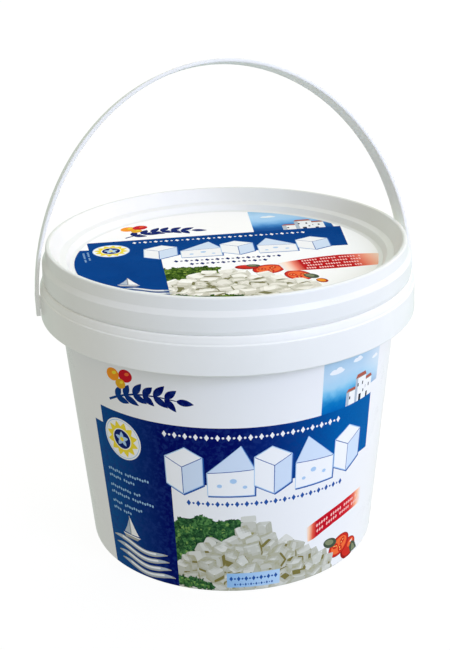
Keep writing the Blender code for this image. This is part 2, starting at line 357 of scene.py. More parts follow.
def pin_mesh(sign, sides=48):
    face = STRAP_X - STRAP_T / 2 + sign * STRAP_SHIFT
    boss = min(BOSS_T, max(0.15, face - COLLAR_R0 - 0.05))
    # the boss, the stud and the barbed head inside the collar
    profile = [(face + 0.5, 0.0), (face + 0.5, BOSS_R), (face - boss + 0.08, BOSS_R), (face - boss, BOSS_R - 0.1),
               (face - boss, PIN_R), (HEAD_X + HEAD_T, PIN_R), (HEAD_X + HEAD_T, HEAD_R - 0.1),
               (HEAD_X + HEAD_T - 0.1, HEAD_R), (HEAD_X + 0.5, HEAD_R), (HEAD_X, HEAD_R - 0.9), (HEAD_X, 0.0)]
    bm = bmesh.new()
    rings = []
    for x, r in profile:
        if r < 1e-6:
            rings.append([bm.verts.new((sign * x * MM, 0, 0))])
        else:
            rings.append([bm.verts.new((sign * x * MM, r * MM * math.cos(2 * math.pi * i / sides),
                                        r * MM * math.sin(2 * math.pi * i / sides))) for i in range(sides)])
    for a, b in zip(rings, rings[1:]):
        for i in range(sides):
            j = (i + 1) % sides
            if len(a) == 1:
                bm.faces.new((a[0], b[i], b[j]))
            elif len(b) == 1:
                bm.faces.new((a[i], b[0], a[j]))
            else:
                bm.faces.new((a[i], b[i], b[j], a[j]))
    bmesh.ops.recalc_face_normals(bm, faces=bm.faces)
    return bm


def hub_mesh(sign, sides=48):
    """Low round hub moulded on the outer face of an end tab, over the pin, with a small gate dimple."""
    face = STRAP_X + STRAP_T / 2 + sign * STRAP_SHIFT
    profile = [(face - 0.4, 0.0), (face - 0.4, 5.4), (face + 0.06, 5.4), (face + 0.16, 5.2), (face + 0.16, 4.3),
               (face + 0.05, 4.1), (face + 0.05, 1.4), (face + 0.02, 1.2), (face - 0.12, 0.9), (face - 0.12, 0.0)]
    bm = bmesh.new()
    rings = []
    for x, r in profile:
        if r < 1e-6:
            rings.append([bm.verts.new((sign * x * MM, 0, 0))])
        else:
            rings.append([bm.verts.new((sign * x * MM, r * MM * math.cos(2 * math.pi * i / sides),
                                        r * MM * math.sin(2 * math.pi * i / sides))) for i in range(sides)])
    for a, b in zip(rings, rings[1:]):
        for i in range(sides):
            j = (i + 1) % sides
            if len(a) == 1:
                bm.faces.new((a[0], b[i], b[j]))
            elif len(b) == 1:
                bm.faces.new((a[i], b[0], a[j]))
            else:
                bm.faces.new((a[i], b[i], b[j], a[j]))
    bmesh.ops.recalc_face_normals(bm, faces=bm.faces)
    return bm


def at_pivot(bm):
    """The bail's own frame stands on the pivot axis and leans towards +Y."""
    m = Matrix.Translation((0, 0, PIVOT_Z * MM)) @ Matrix.Rotation(-LEAN, 4, "X")
    bmesh.ops.transform(bm, matrix=m, verts=bm.verts)
    return bm


# ============================================================================
# printing: fields of colour cut into one flat arrangement, then wrapped
# ============================================================================
class Print:
    """Painter's-order fields of colour on a plane, in mm. Later fields cover earlier ones."""

    def __init__(self, inks):
        self.inks = inks                 # ordered ink names
        self.fields = []                 # (points, ink index)

    def add(self, points, ink):
        pts = [(float(x), float(y)) for x, y in points]
        area = sum(a[0] * b[1] - b[0] * a[1] for a, b in zip(pts, pts[1:] + pts[:1])) / 2
        if abs(area) < 0.004:
            return
        if area < 0:
            pts = pts[::-1]
        self.fields.append((pts, self.inks.index(ink)))

    def copy_to(self, other, func):
        for pts, ink in self.fields:
            other.add([func(p) for p in pts], self.inks[ink])

    def cut(self, lines, eps=2e-4):
        """One flat arrangement: coordinates, faces and the ink of each face."""
        verts, faces, edges = [], [], []
        for pts, _ in self.fields:
            n = len(verts)
            verts += [Vector(p) for p in pts]
            faces.append(list(range(n, n + len(pts))))
        for a, b in lines:
            n = len(verts)
            verts += [Vector(a), Vector(b)]
            edges.append((n, n + 1))
        co, _, tris, _, _, origin = delaunay_2d_cdt(verts, edges, faces, 0, eps, True)
        out_faces, out_ink = [], []
        for f, o in zip(tris, origin):
            if 0 not in o:                   # outside the sheet's own outline, its first field
                continue
            mid = (sum(co[i][0] for i in f) / len(f), sum(co[i][1] for i in f) / len(f))
            top = 0
            for i in sorted(o, reverse=True):
                if i == 0 or inside_poly(mid, self.fields[i][0]):
                    top = i
                    break
            out_faces.append(list(f))
            out_ink.append(self.fields[top][1])
        return [tuple(c) for c in co], out_faces, out_ink


def print_objects(sheet, lines, wrap, normal, mats, groups):
    """Cut the sheet, wrap it and make one object for each group {name: inks}."""
    co, faces, ink = sheet.cut(lines)
    made = []
    for name, inks in groups.items():
        wanted = {sheet.inks.index(i) for i in inks}
        keep = [(f, i) for f, i in zip(faces, ink) if i in wanted]
        if not keep:
            continue
        used = sorted({i for f, _ in keep for i in f})
        index = {v: i for i, v in enumerate(used)}
        mesh = bpy.data.meshes.new(name)
        mesh.from_pydata([wrap(*co[i]) for i in used], [], [[index[i] for i in f] for f, _ in keep])
        present = sorted({i for _, i in keep})
        for i in present:
            mesh.materials.append(mats[sheet.inks[i]])
        slot = {i: k for k, i in enumerate(present)}
        mesh.polygons.foreach_set("material_index", [slot[i] for _, i in keep])
        xs, ys = [co[i][0] for i in used], [co[i][1] for i in used]
        x0, y0, w, h = min(xs), min(ys), max(xs) - min(xs), max(ys) - min(ys)
        flat = mesh.uv_layers.new(name="OFBake")
        spots = np.array([(0.004 + 0.992 * (co[i][0] - x0) / w, 0.004 + 0.992 * (co[i][1] - y0) / h)
                          for f, _ in keep for i in f], np.float32)
        flat.uv.foreach_set("vector", spots.ravel())
        mesh.shade_smooth()
        mesh.normals_split_custom_set_from_vertices([normal(*co[i]) for i in used])
        mesh.update()
        obj = bpy.data.objects.new(name, mesh)
        bpy.context.scene.collection.objects.link(obj)
        made.append(obj)
    return made


# ---- shapes in the plane ---------------------------------------------------
def rect(x0, y0, x1, y1):
    return [(x0, y0), (x1, y0), (x1, y1), (x0, y1)]


def disc(cx, cy, rx, ry=None, n=28, turn=0.0):
    ry = rx if ry is None else ry
    c, s = math.cos(turn), math.sin(turn)
    pts = []
    for i in range(n):
        a = 2 * math.pi * i / n
        x, y = rx * math.cos(a), ry * math.sin(a)
        pts.append((cx + x * c - y * s, cy + x * s + y * c))
    return pts


def round_rect(x0, y0, x1, y1, r, n=5):
    pts = []
    for cx, cy, a0 in ((x1 - r, y0 + r, -90), (x1 - r, y1 - r, 0), (x0 + r, y1 - r, 90), (x0 + r, y0 + r, 180)):
        for i in range(n + 1):
            a = math.radians(a0 + 90.0 * i / n)
            pts.append((cx + r * math.cos(a), cy + r * math.sin(a)))
    return pts


def leaf(cx, cy, length, width, turn, n=9):
    """Pointed leaf from its stem end at (cx, cy)."""
    c, s = math.cos(turn), math.sin(turn)
    up, down = [], []
    for i in range(n + 1):
        t = i / n
        x = length * t
        w = width / 2 * math.sin(math.pi * t ** 0.82) ** 0.9
        up.append((x, w))
        down.append((x, -w))
    pts = down + up[-2:0:-1]
    return [(cx + x * c - y * s, cy + x * s + y * c) for x, y in pts]


def band(points, widths):
    """Ribbon of varying width along a path."""
    left, right = [], []
    for i, (x, y) in enumerate(points):
        ax, ay = points[max(i - 1, 0)]
        bx, by = points[min(i + 1, len(points) - 1)]
        d = math.hypot(bx - ax, by - ay) or 1.0
        nx, ny = -(by - ay) / d, (bx - ax) / d
        w = widths[i] / 2 if isinstance(widths, (list, tuple)) else widths / 2
        left.append((x + nx * w, y + ny * w))
        right.append((x - nx * w, y - ny * w))
    return left + right[::-1]


def inside_poly(p, poly):
    x, y = p
    hit = False
    for (x1, y1), (x2, y2) in zip(poly, poly[1:] + poly[:1]):
        if (y1 > y) != (y2 > y) and x < (x2 - x1) * (y - y1) / (y2 - y1) + x1:
            hit = not hit
    return hit


# ============================================================================
# motifs
# ============================================================================
CHEESE = ["cheese%d" % i for i in range(12)]              # white to olive
GREENS = ["green0", "green1", "green2", "green3"]
INKS = (["ground", "navy", "lid_blue", "sky", "strip", "ribbon", "pale_blue", "line_blue", "icon_white", "icon_side", "white",
         "grey", "warm_grey", "yellow", "gold", "orange", "red", "deep_red", "terracotta", "dark", "deep_blue", "dot_blue",
         "olive_dark", "olive", "gap_light", "gap_mid", "gap_dark", "tomato", "tomato_light", "tomato_dark", "seed", "cloud",
         "blush"] + CHEESE + GREENS)
GRADED = ["navy", "lid_blue", "sky", "strip", "ribbon"] + GREENS


def hull2(points):
    pts = sorted(set(points))
    def half(seq):
        out = []
        for p in seq:
            while len(out) > 1 and (out[-1][0] - out[-2][0]) * (p[1] - out[-2][1]) - (out[-1][1] - out[-2][1]) * (p[0] - out[-2][0]) <= 0:
                out.pop()
            out.append(p)
        return out
    a, b = half(pts), half(pts[::-1])
    return a[:-1] + b[:-1]


VIEW_PITCH = math.radians(28)
LAMP = Vector((-0.42, -0.40, 0.81)).normalized()


def flatten(v):
    """Corner of a heap's box to the picture plane: x across, y up, seen a little from above."""
    return v.x, v.z * math.cos(VIEW_PITCH) + v.y * math.sin(VIEW_PITCH)


def sky_seen(points, normals, centres, spins, halves, own, rng, rays=56, reach=2.6):
    """How much soft light reaches each point of a pile of boxes: 0 none, 1 all."""
    dirs = []
    while len(dirs) < rays:
        v = np.array([rng.gauss(0, 1) for _ in range(3)])
        v /= np.linalg.norm(v)
        if v[2] > -0.25:
            dirs.append(v)
    dirs = np.array(dirs)
    lamp = np.array(LAMP)
    power = 0.30 + 1.6 * np.maximum(0.0, dirs @ lamp) ** 2 + 0.5 * np.maximum(0.0, dirs[:, 2])
    inv = np.transpose(spins, (0, 2, 1))
    out = np.zeros(len(points))
    near = np.linalg.norm(points[:, None, :] - centres[None, :, :], axis=2)
    for i in range(len(points)):
        face = np.maximum(0.0, dirs @ normals[i])
        weight = power * face
        full = (power * np.maximum(0.0, dirs @ lamp)).sum()
        who = [j for j in np.nonzero(near[i] < reach * halves.max() * 2.4)[0] if j != own[i]]
        lit = np.ones(rays)
        if who:
            o = np.einsum("nij,nj->ni", inv[who], points[i] - centres[who])
            d = np.einsum("nij,rj->nri", inv[who], dirs)
            d = np.where(np.abs(d) < 1e-6, 1e-6, d)
            h = halves[who][:, None, :]
            t1, t2 = (-h - o[:, None, :]) / d, (h - o[:, None, :]) / d
            enter, leave = np.minimum(t1, t2).max(axis=2), np.maximum(t1, t2).min(axis=2)
            hit = ((leave > np.maximum(enter, 1e-3)) & (enter < reach * halves.max() * 2)).any(axis=0)
            lit = np.where(hit, 0.0, 1.0)
        out[i] = (weight * lit).sum() / full
    return out


HEAP_RANKS = (0.03, 0.10, 0.18, 0.28, 0.42, 0.56, 0.70, 0.83, 0.93, 1.0)
HEAP_TONES = (10.0, 9.3, 8.5, 7.5, 6.5, 5.4, 4.0, 2.6, 1.2, 0.0)


def heap(sheet, crest, x0, x1, floor, size, seed, keep=None, cells=5):
    """A mound of loose cubes under the line crest(x), each face in small fields shaded from white to olive."""
    rng = random.Random(seed)
    eye = Vector((0, -math.cos(VIEW_PITCH), math.sin(VIEW_PITCH)))

    def drawn(v):
        px, py = flatten(v)
        return px, py + floor

    tall = max(crest(x0 + (x1 - x0) * i / 40) for i in range(41)) - floor
    # places on the mound's face, loosely packed
    spots = []
    rows = int(tall / (size * 0.60)) + 3
    for r in range(rows):
        x = x0 + size * (0.42 + 0.55 * (r % 2))
        while x < x1 - size * 0.25:
            jx, jy = x + rng.uniform(-0.22, 0.22) * size, floor + size * (0.60 * r + 0.15) + rng.uniform(-0.2, 0.2) * size
            if jy < crest(jx) - size * 0.50:
                spots.append([jx, jy])
            x += size * rng.uniform(0.98, 1.26)
    for _ in range(6):                                     # push crowded neighbours apart
        for i, p in enumerate(spots):
            for q in spots[i + 1:]:
                dx, dy = q[0] - p[0], (q[1] - p[1]) * 1.35
                d = math.hypot(dx, dy)
                if 1e-6 < d < size * 0.86:
                    k = 0.25 * (size * 0.86 - d) / d
                    p[0] -= dx * k
                    q[0] += dx * k
                    p[1] -= dy * k * 0.6
                    q[1] += dy * k * 0.6
    spots = [p for p in spots if p[1] < crest(p[0]) - size * 0.44]
    # boxes in space: the mound leans back, so what is higher in the picture stands further away
    boxes = []
    lean = math.tan(math.radians(38))
    for x, y in spots:
        if keep and not keep(x, y):
            continue
        wide = [size * rng.uniform(0.80, 1.06) * 0.5 for _ in range(3)]
        if rng.random() < 0.18:
            wide[rng.choice((0, 1))] *= rng.uniform(1.25, 1.5)
        tilt = 0.30
        m = (Matrix.Rotation(rng.gauss(0, tilt), 3, "X") @ Matrix.Rotation(rng.gauss(0, tilt), 3, "Y")
             @ Matrix.Rotation(rng.uniform(0, math.pi), 3, "Z"))
        z = (y - floor) / (math.cos(VIEW_PITCH) + lean * math.sin(VIEW_PITCH))
        boxes.append((Vector((x, z * lean + rng.uniform(-0.15, 0.15) * size, z)), m, wide))
    centres = np.array([tuple(c) for c, _, _ in boxes])
    spins = np.array([[list(r) for r in m] for _, m, _ in boxes])
    halves = np.array([w for _, _, w in boxes])
    faces = []                                             # (box, corner points, normal)
    for j, (c, m, w) in enumerate(boxes):
        for axis in range(3):
            for sgn in (-1, 1):
                n = m @ Vector([sgn if i == axis else 0 for i in range(3)])
                if n.dot(eye) > 0.02:
                    u, v = [i for i in range(3) if i != axis]
                    faces.append((j, axis, sgn, u, v, n))
    pts, nrm, own, place = [], [], [], []
    for k, (j, axis, sgn, u, v, n) in enumerate(faces):
        c, m, w = boxes[j]
        for a in range(cells + 1):
            for b2 in range(cells + 1):
                local = [0.0, 0.0, 0.0]
                local[axis] = sgn * w[axis]
                local[u] = w[u] * (2 * a / cells - 1) * 0.96
                local[v] = w[v] * (2 * b2 / cells - 1) * 0.96
                pts.append(tuple(c + m @ Vector(local) + n * 0.02 * size))
                nrm.append(tuple(n))
                own.append(j)
    seen = sky_seen(np.array(pts), np.array(nrm), centres, spins, halves, own, rng).reshape(len(faces), cells + 1, cells + 1)
    # the mound's shade under everything
    n = 48
    edge = [(x0 + (x1 - x0) * i / n, crest(x0 + (x1 - x0) * i / n) - 1.15 * size) for i in range(n + 1)]
    sheet.add([(x0, floor)] + [(x, max(floor + 0.01, y)) for x, y in edge] + [(x1, floor)], "gap_mid")
    for _ in range(220):
        x = rng.uniform(x0 + size * 0.3, x1 - size * 0.3)
        top = crest(x) - size * 1.3
        if top <= floor:
            continue
        y = rng.uniform(floor, top)
        r = size * rng.uniform(0.07, 0.24)
        sheet.add([(x + r * rng.uniform(0.6, 1.2) * math.cos(a), y + r * rng.uniform(0.6, 1.3) * math.sin(a))
                   for a in [2 * math.pi * i / 7 for i in range(7)]], rng.choice(["gap_dark", "gap_light", "gap_light", "cheese9", "cheese8"]))
    levels = np.quantile(seen, HEAP_RANKS)
    order = sorted(range(len(boxes)), key=lambda j: boxes[j][0].dot(eye))
    by_box = {}
    for k, f in enumerate(faces):
        by_box.setdefault(f[0], []).append(k)
    top_tone = len(CHEESE) - 1
    for j in order:
        c, m, w = boxes[j]
        corners = [m @ Vector((sx * w[0], sy * w[1], sz * w[2])) + c for sx in (-1, 1) for sy in (-1, 1) for sz in (-1, 1)]
        flat = [drawn(v) for v in corners]
        mx, my = sum(p[0] for p in flat) / 8, sum(p[1] for p in flat) / 8
        outline = hull2(flat)
        deep = crest(mx) - my > size * 1.1
        drop = rng.uniform(0.03, 0.07) * size
        low = [(mx + (px - mx) * 1.02, my + (py - my) * 1.02 - drop) for px, py in outline]
        if deep:
            sheet.add(low, CHEESE[rng.choice((6, 7, 8, 9))])
        for k in by_box.get(j, ()):
            _, axis, sgn, u, v, n = faces[k]
            grid = {}
            jitter = rng.uniform(-0.02, 0.02)
            for a in range(cells + 1):
                for b2 in range(cells + 1):
                    fa, fb = 2 * a / cells - 1, 2 * b2 / cells - 1
                    if abs(fa) == 1 and abs(fb) == 1:      # worn corners
                        fa, fb = fa * 0.93, fb * 0.93
                    local = [0.0, 0.0, 0.0]
                    local[axis] = sgn * w[axis]
                    local[u], local[v] = w[u] * fa, w[v] * fb
                    grid[a, b2] = drawn(c + m @ Vector(local))
            for a in range(cells):
                for b2 in range(cells):
                    light = (seen[k, a, b2] + seen[k, a + 1, b2] + seen[k, a, b2 + 1] + seen[k, a + 1, b2 + 1]) / 4 + jitter
                    tone = int(round(np.interp(light, levels, HEAP_TONES) + rng.uniform(-0.3, 0.3)))
                    quad = [grid[a, b2], grid[a + 1, b2], grid[a + 1, b2 + 1], grid[a, b2 + 1]]
                    sheet.add(quad, CHEESE[max(0, min(top_tone, tone))])


def foliage(sheet, region, count, size, seed, order=GREENS):
    """Curly leaves: lobed blobs from dark and large to bright and small, inside a region, with dark nicks between."""
    rng = random.Random(seed)
    xs, ys = [p[0] for p in region], [p[1] for p in region]
    sheet.add(region, order[0])
    made = 0
    tries = 0
    while made < count and tries < count * 30:
        tries += 1
        p = (rng.uniform(min(xs), max(xs)), rng.uniform(min(ys), max(ys)))
        if not inside_poly(p, region):
            continue
        t = made / count
        level = int(max(0, min(3, t * 3.6 + rng.gauss(0.0, 0.75))))
        if rng.random() < 0.16:
            level = 0
        r0 = size * (1.30 - 0.85 * t) * rng.uniform(0.6, 1.25) * (0.75 if level in (0, 3) and t > 0.3 else 1.0)
        lobes, ph, dep = rng.choice([3, 4, 5, 6]), rng.uniform(0, 6.28), rng.uniform(0.22, 0.42)
        n = lobes * 4
        sq = rng.uniform(0.45, 1.0)
        tw = rng.uniform(0, 3.14)
        pts = []
        for i in range(n):
            a = 2 * math.pi * i / n
            r = r0 * (1 + dep * math.cos(lobes * a + ph)) * (1 + rng.uniform(-0.08, 0.08))
            u, v = r * math.cos(a), r * sq * math.sin(a)
            pts.append((p[0] + u * math.cos(tw) - v * math.sin(tw), p[1] + u * math.sin(tw) + v * math.cos(tw)))
        sheet.add(pts, order[level])
        made += 1


def tomato_half(sheet, cx, cy, r, turn, squash=0.8):
    sheet.add(disc(cx, cy, r, r * squash, 30, turn), "tomato_dark")
    sheet.add(disc(cx, cy, r * 0.93, r * 0.92 * squash, 30, turn), "tomato")
    sheet.add(disc(cx, cy, r * 0.76, r * 0.74 * squash, 26, turn), "tomato_light")
    for i in range(3):
        a = turn + 2 * math.pi * i / 3 + 0.5
        ox, oy = cx + r * 0.40 * math.cos(a), cy + r * 0.40 * squash * math.sin(a)
        sheet.add(disc(ox, oy, r * 0.27, r * 0.20, 14, a), "tomato")
        for j in (-1, 1):
            sheet.add(disc(ox + j * r * 0.1 * math.cos(a), oy + j * r * 0.1 * math.sin(a), r * 0.07, r * 0.045, 8, a), "seed")


def tomato_whole(sheet, cx, cy, r, turn=0.0):
    sheet.add(disc(cx, cy, r, r * 0.9, 30, turn), "tomato_dark")
    sheet.add(disc(cx + r * 0.06, cy + r * 0.07, r * 0.88, r * 0.77, 28, turn), "tomato")
    sheet.add(disc(cx + r * 0.28, cy + r * 0.30, r * 0.42, r * 0.30, 20, 0.5), "tomato_light")
    sheet.add(disc(cx + r * 0.36, cy + r * 0.42, r * 0.15, r * 0.08, 12, 0.5), "cloud")


def iso_block(sheet, x, y, w, d, h, line=0.55):
    """Upright block seen from a corner, standing at (x, y): white faces with a thin blue outline."""
    c, s = math.cos(math.radians(30)), math.sin(math.radians(30))
    def p(u, v, t):
        return x + (u - v) * c, y + (u + v) * s + t
    outline = [p(0, 0, 0), p(w, 0, 0), p(w, 0, h), p(w, d, h), p(0, d, h), p(0, d, 0)]
    mx, my = sum(q[0] for q in outline) / 6, sum(q[1] for q in outline) / 6
    def grown(k, dx=0.0, dy=0.0):
        out = []
        for q in outline:
            vx, vy = q[0] - mx, q[1] - my
            l = math.hypot(vx, vy)
            out.append((q[0] + vx / l * k + dx, q[1] + vy / l * k + dy))
        return out
    sheet.add(grown(line * 1.5, 0.5, -0.5), "line_blue")
    sheet.add(grown(line), "pale_blue")
    sheet.add([p(0, 0, h), p(w, 0, h), p(w, d, h), p(0, d, h)], "icon_white")
    sheet.add([p(0, 0, 0), p(w, 0, 0), p(w, 0, h), p(0, 0, h)], "icon_side")
    sheet.add([p(0, 0, 0), p(0, 0, h), p(0, d, h), p(0, d, 0)], "icon_white")
    for a, b in ((p(0, 0, 0), p(0, 0, h)), (p(0, 0, h), p(w, 0, h)), (p(0, 0, h), p(0, d, h))):
        sheet.add(band([a, b], 0.4), "line_blue")


def wedge_icon(sheet, x, y, w, h, flip=1, line=0.5):
    """A wedge of cheese lying on its side."""
    pts = [(0, 0), (w, 0), (w, h * 0.52), (w * 0.72, h), (0, h * 0.46)]
    q = [(x + flip * a, y + b) for a, b in pts]
    mx, my = sum(a for a, _ in q) / 5, sum(b for _, b in q) / 5
    def grown(k, dx=0.0, dy=0.0):
        out = []
        for a, b in q:
            l = math.hypot(a - mx, b - my)
            out.append((a + (a - mx) / l * k + dx, b + (b - my) / l * k + dy))
        return out
    sheet.add(grown(line * 1.6, 0.5, -0.5), "line_blue")
    sheet.add(grown(line), "pale_blue")
    sheet.add([q[0], q[1], q[2], q[4]], "icon_white")
    sheet.add([q[4], q[2], q[3]], "icon_side")
    sheet.add(band([q[4], q[2]], 0.4), "line_blue")
    for a, b, r in ((0.25, 0.20, 0.055), (0.55, 0.30, 0.075), (0.80, 0.17, 0.05)):
        sheet.add(disc(x + flip * w * a, y + h * b, w * r, w * r * 0.8, 14), "pale_blue")


def beads(sheet, points, big, small, ink):
    """A plain ornamental row: diamonds with dots between."""
    for i, (x, y) in enumerate(points):
        if i % 2 == 0:
            sheet.add([(x - big, y), (x, y - big * 1.55), (x + big, y), (x, y + big * 1.55)], ink)
        else:
            sheet.add(disc(x, y, small, small, 8), ink)


def sprig(sheet, stem, ink, length, width, seed, berries=()):
    rng = random.Random(seed)
    sheet.add(band(stem, [1.3 - 0.8 * i / (len(stem) - 1) for i in range(len(stem))]), ink)
    n = len(stem)
    for i in range(1, n - 1):
        (ax, ay), (bx, by) = stem[i - 1], stem[i + 1]
        a = math.atan2(by - ay, bx - ax)
        for sgn in (1, -1):
            sheet.add(leaf(stem[i][0], stem[i][1], length * rng.uniform(0.85, 1.1), width,
                           a + sgn * rng.uniform(0.62, 0.86)), ink)
    (ax, ay), (bx, by) = stem[-2], stem[-1]
    sheet.add(leaf(bx, by, length, width, math.atan2(by - ay, bx - ax)), ink)
    for x, y, r, c, hi in berries:
        sheet.add(disc(x, y, r, r * 0.86, 20, 0.4), c)
        sheet.add(disc(x + r * 0.25, y + r * 0.28, r * 0.36, r * 0.22, 12, 0.4), hi)


def waves(sheet, x0, x1, y0, rows, step, amp, wide, seed):
    """Broad swells, each shaded from blue-grey through grey to a light crest."""
    rng = random.Random(seed)
    for k in range(rows):
        ph = 0.35 * k + rng.uniform(-0.15, 0.15)
        a, b = x0 + 1.6 * k + rng.uniform(0, 1.0), x1 + 0.9 * k - rng.uniform(0.0, 1.5)
        pts, env = [], []
        for i in range(33):
            t = i / 32
            pts.append((a + (b - a) * t, y0 - k * step + amp * math.sin(2 * math.pi * t * 1.15 + ph) - 1.6 * t))
            env.append(min(1.0, 4.5 * t + 0.05, 4.5 * (1 - t) + 0.05) ** 0.7)
        for share, lift, ink, cut in ((1.0, 0.0, "warm_grey", 0), (0.72, 0.06, "grey", 2), (0.36, 0.12, "white", 6)):
            sheet.add(band([(px, py + wide * lift) for px, py in pts[cut:33 - cut]],
                           [max(0.12, wide * share * e) for e in env[cut:33 - cut]]), ink)


def sail_boat(sheet, x, y, s):
    sheet.add([(x - 1.15 * s, y), (x + 1.25 * s, y), (x + 0.8 * s, y - 0.42 * s), (x - 0.85 * s, y - 0.42 * s)], "warm_grey")
    sheet.add([(x - 1.15 * s, y + 0.02 * s), (x + 1.25 * s, y + 0.02 * s), (x + 1.18 * s, y - 0.10 * s), (x - 1.08 * s, y - 0.10 * s)], "white")
    sheet.add([(x + 0.05 * s, y + 0.12 * s), (x + 1.1 * s, y + 0.16 * s), (x + 0.62 * s, y + 1.0 * s), (x + 0.05 * s, y + 2.2 * s)], "white")
    sheet.add([(x - 0.08 * s, y + 0.14 * s), (x - 0.95 * s, y + 0.18 * s), (x - 0.45 * s, y + 1.0 * s), (x - 0.08 * s, y + 1.9 * s)], "grey")
    sheet.add(band([(x, y), (x, y + 2.3 * s)], 0.10 * s), "warm_grey")


def village(sheet, x, y, s, tilt=0.0):
    """Plain white houses with tiled roofs, standing at y."""
    def house(x0, w, h, roof, door=None):
        sheet.add(rect(x + x0 * s, y, x + (x0 + w) * s, y + h * s), "white")
        sheet.add(rect(x + x0 * s, y, x + (x0 + w * 0.22) * s, y + h * s), "grey")
        sheet.add([(x + (x0 - 0.25) * s, y + h * s), (x + (x0 + w + 0.25) * s, y + h * s),
                   (x + (x0 + w - 0.7) * s, y + (h + roof) * s), (x + (x0 + 0.8) * s, y + (h + roof) * s)], "terracotta")
        sheet.add([(x + (x0 - 0.25) * s, y + h * s), (x + (x0 + w + 0.25) * s, y + h * s),
                   (x + (x0 + w + 0.1) * s, y + (h + 0.28) * s), (x + (x0 - 0.05) * s, y + (h + 0.28) * s)], "warm_grey")
        if door:
            for dx, dy, dw, dh in door:
                sheet.add(rect(x + (x0 + dx) * s, y + dy * s, x + (x0 + dx + dw) * s, y + (dy + dh) * s), "dark")
    house(9.6, 6.8, 8.2, 1.6, [(1.9, 4.6, 0.7, 1.5), (4.4, 4.6, 0.7, 1.5), (3.1, 0.0, 1.2, 2.6)])
    house(0.4, 7.2, 6.2, 1.5, [(1.7, 2.9, 0.7, 1.3), (5.0, 2.9, 0.7, 1.3)])
    house(5.4, 6.6, 10.6, 1.9, [(1.3, 6.9, 0.65, 1.5), (4.2, 6.9, 0.65, 1.5), (2.5, 0.0, 1.5, 3.2), (4.9, 3.4, 0.65, 1.3)])


def clouds(sheet, spots):
    for x, y, w in spots:
        for dx, dy, rx, ry in ((0, 0, 0.5, 0.14), (-0.22, 0.05, 0.2, 0.13), (0.12, 0.09, 0.22, 0.16)):
            sheet.add(disc(x + dx * w, y + dy * w, rx * w, ry * w, 22), "cloud")


def frieze(sheet, place):
    """Five plain shapes of cut cheese in a row, in a frame 108 wide and 27 high, put down with place()."""
    row = Print(sheet.inks)
    iso_block(row, 10.5, 1.0, 11.5, 9.5, 14.6)
    wedge_icon(row, 23.0, 0.8, 22.5, 27.0)
    iso_block(row, 55.5, 0.6, 9.8, 11.2, 15.2)
    wedge_icon(row, 88.3, 0.8, 21.5, 27.0, flip=-1)
    iso_block(row, 98.5, 1.0, 10.4, 10.4, 14.6)
    row.copy_to(sheet, place)


def along(points, n):
    """n points at even steps along a path."""
    lengths = [0.0]
    for a, b in zip(points, points[1:]):
        lengths.append(lengths[-1] + math.hypot(b[0] - a[0], b[1] - a[1]))
    out = []
    for i in range(n):
        want = lengths[-1] * i / (n - 1)
        k = max(j for j in range(len(points) - 1) if lengths[j] <= want + 1e-9)
        t = (want - lengths[k]) / max(lengths[k + 1] - lengths[k], 1e-9)
        (ax, ay), (bx, by) = points[k], points[k + 1]
        out.append((ax + (bx - ax) * t, ay + (by - ay) * t))
    return out


def piecewise(points):
    xs, ys = [p[0] for p in points], [p[1] for p in points]
    return lambda x: float(np.interp(x, xs, ys))


# ---- the label round the wall: x = turn from the front in degrees times ARC, y = height --------------------------
ARC = math.radians(1.0) * 82.4
LABEL_Z0, LABEL_Z1 = 1.1, 126.0


def b(*pairs):
    return [(t * ARC, z) for t, z in pairs]


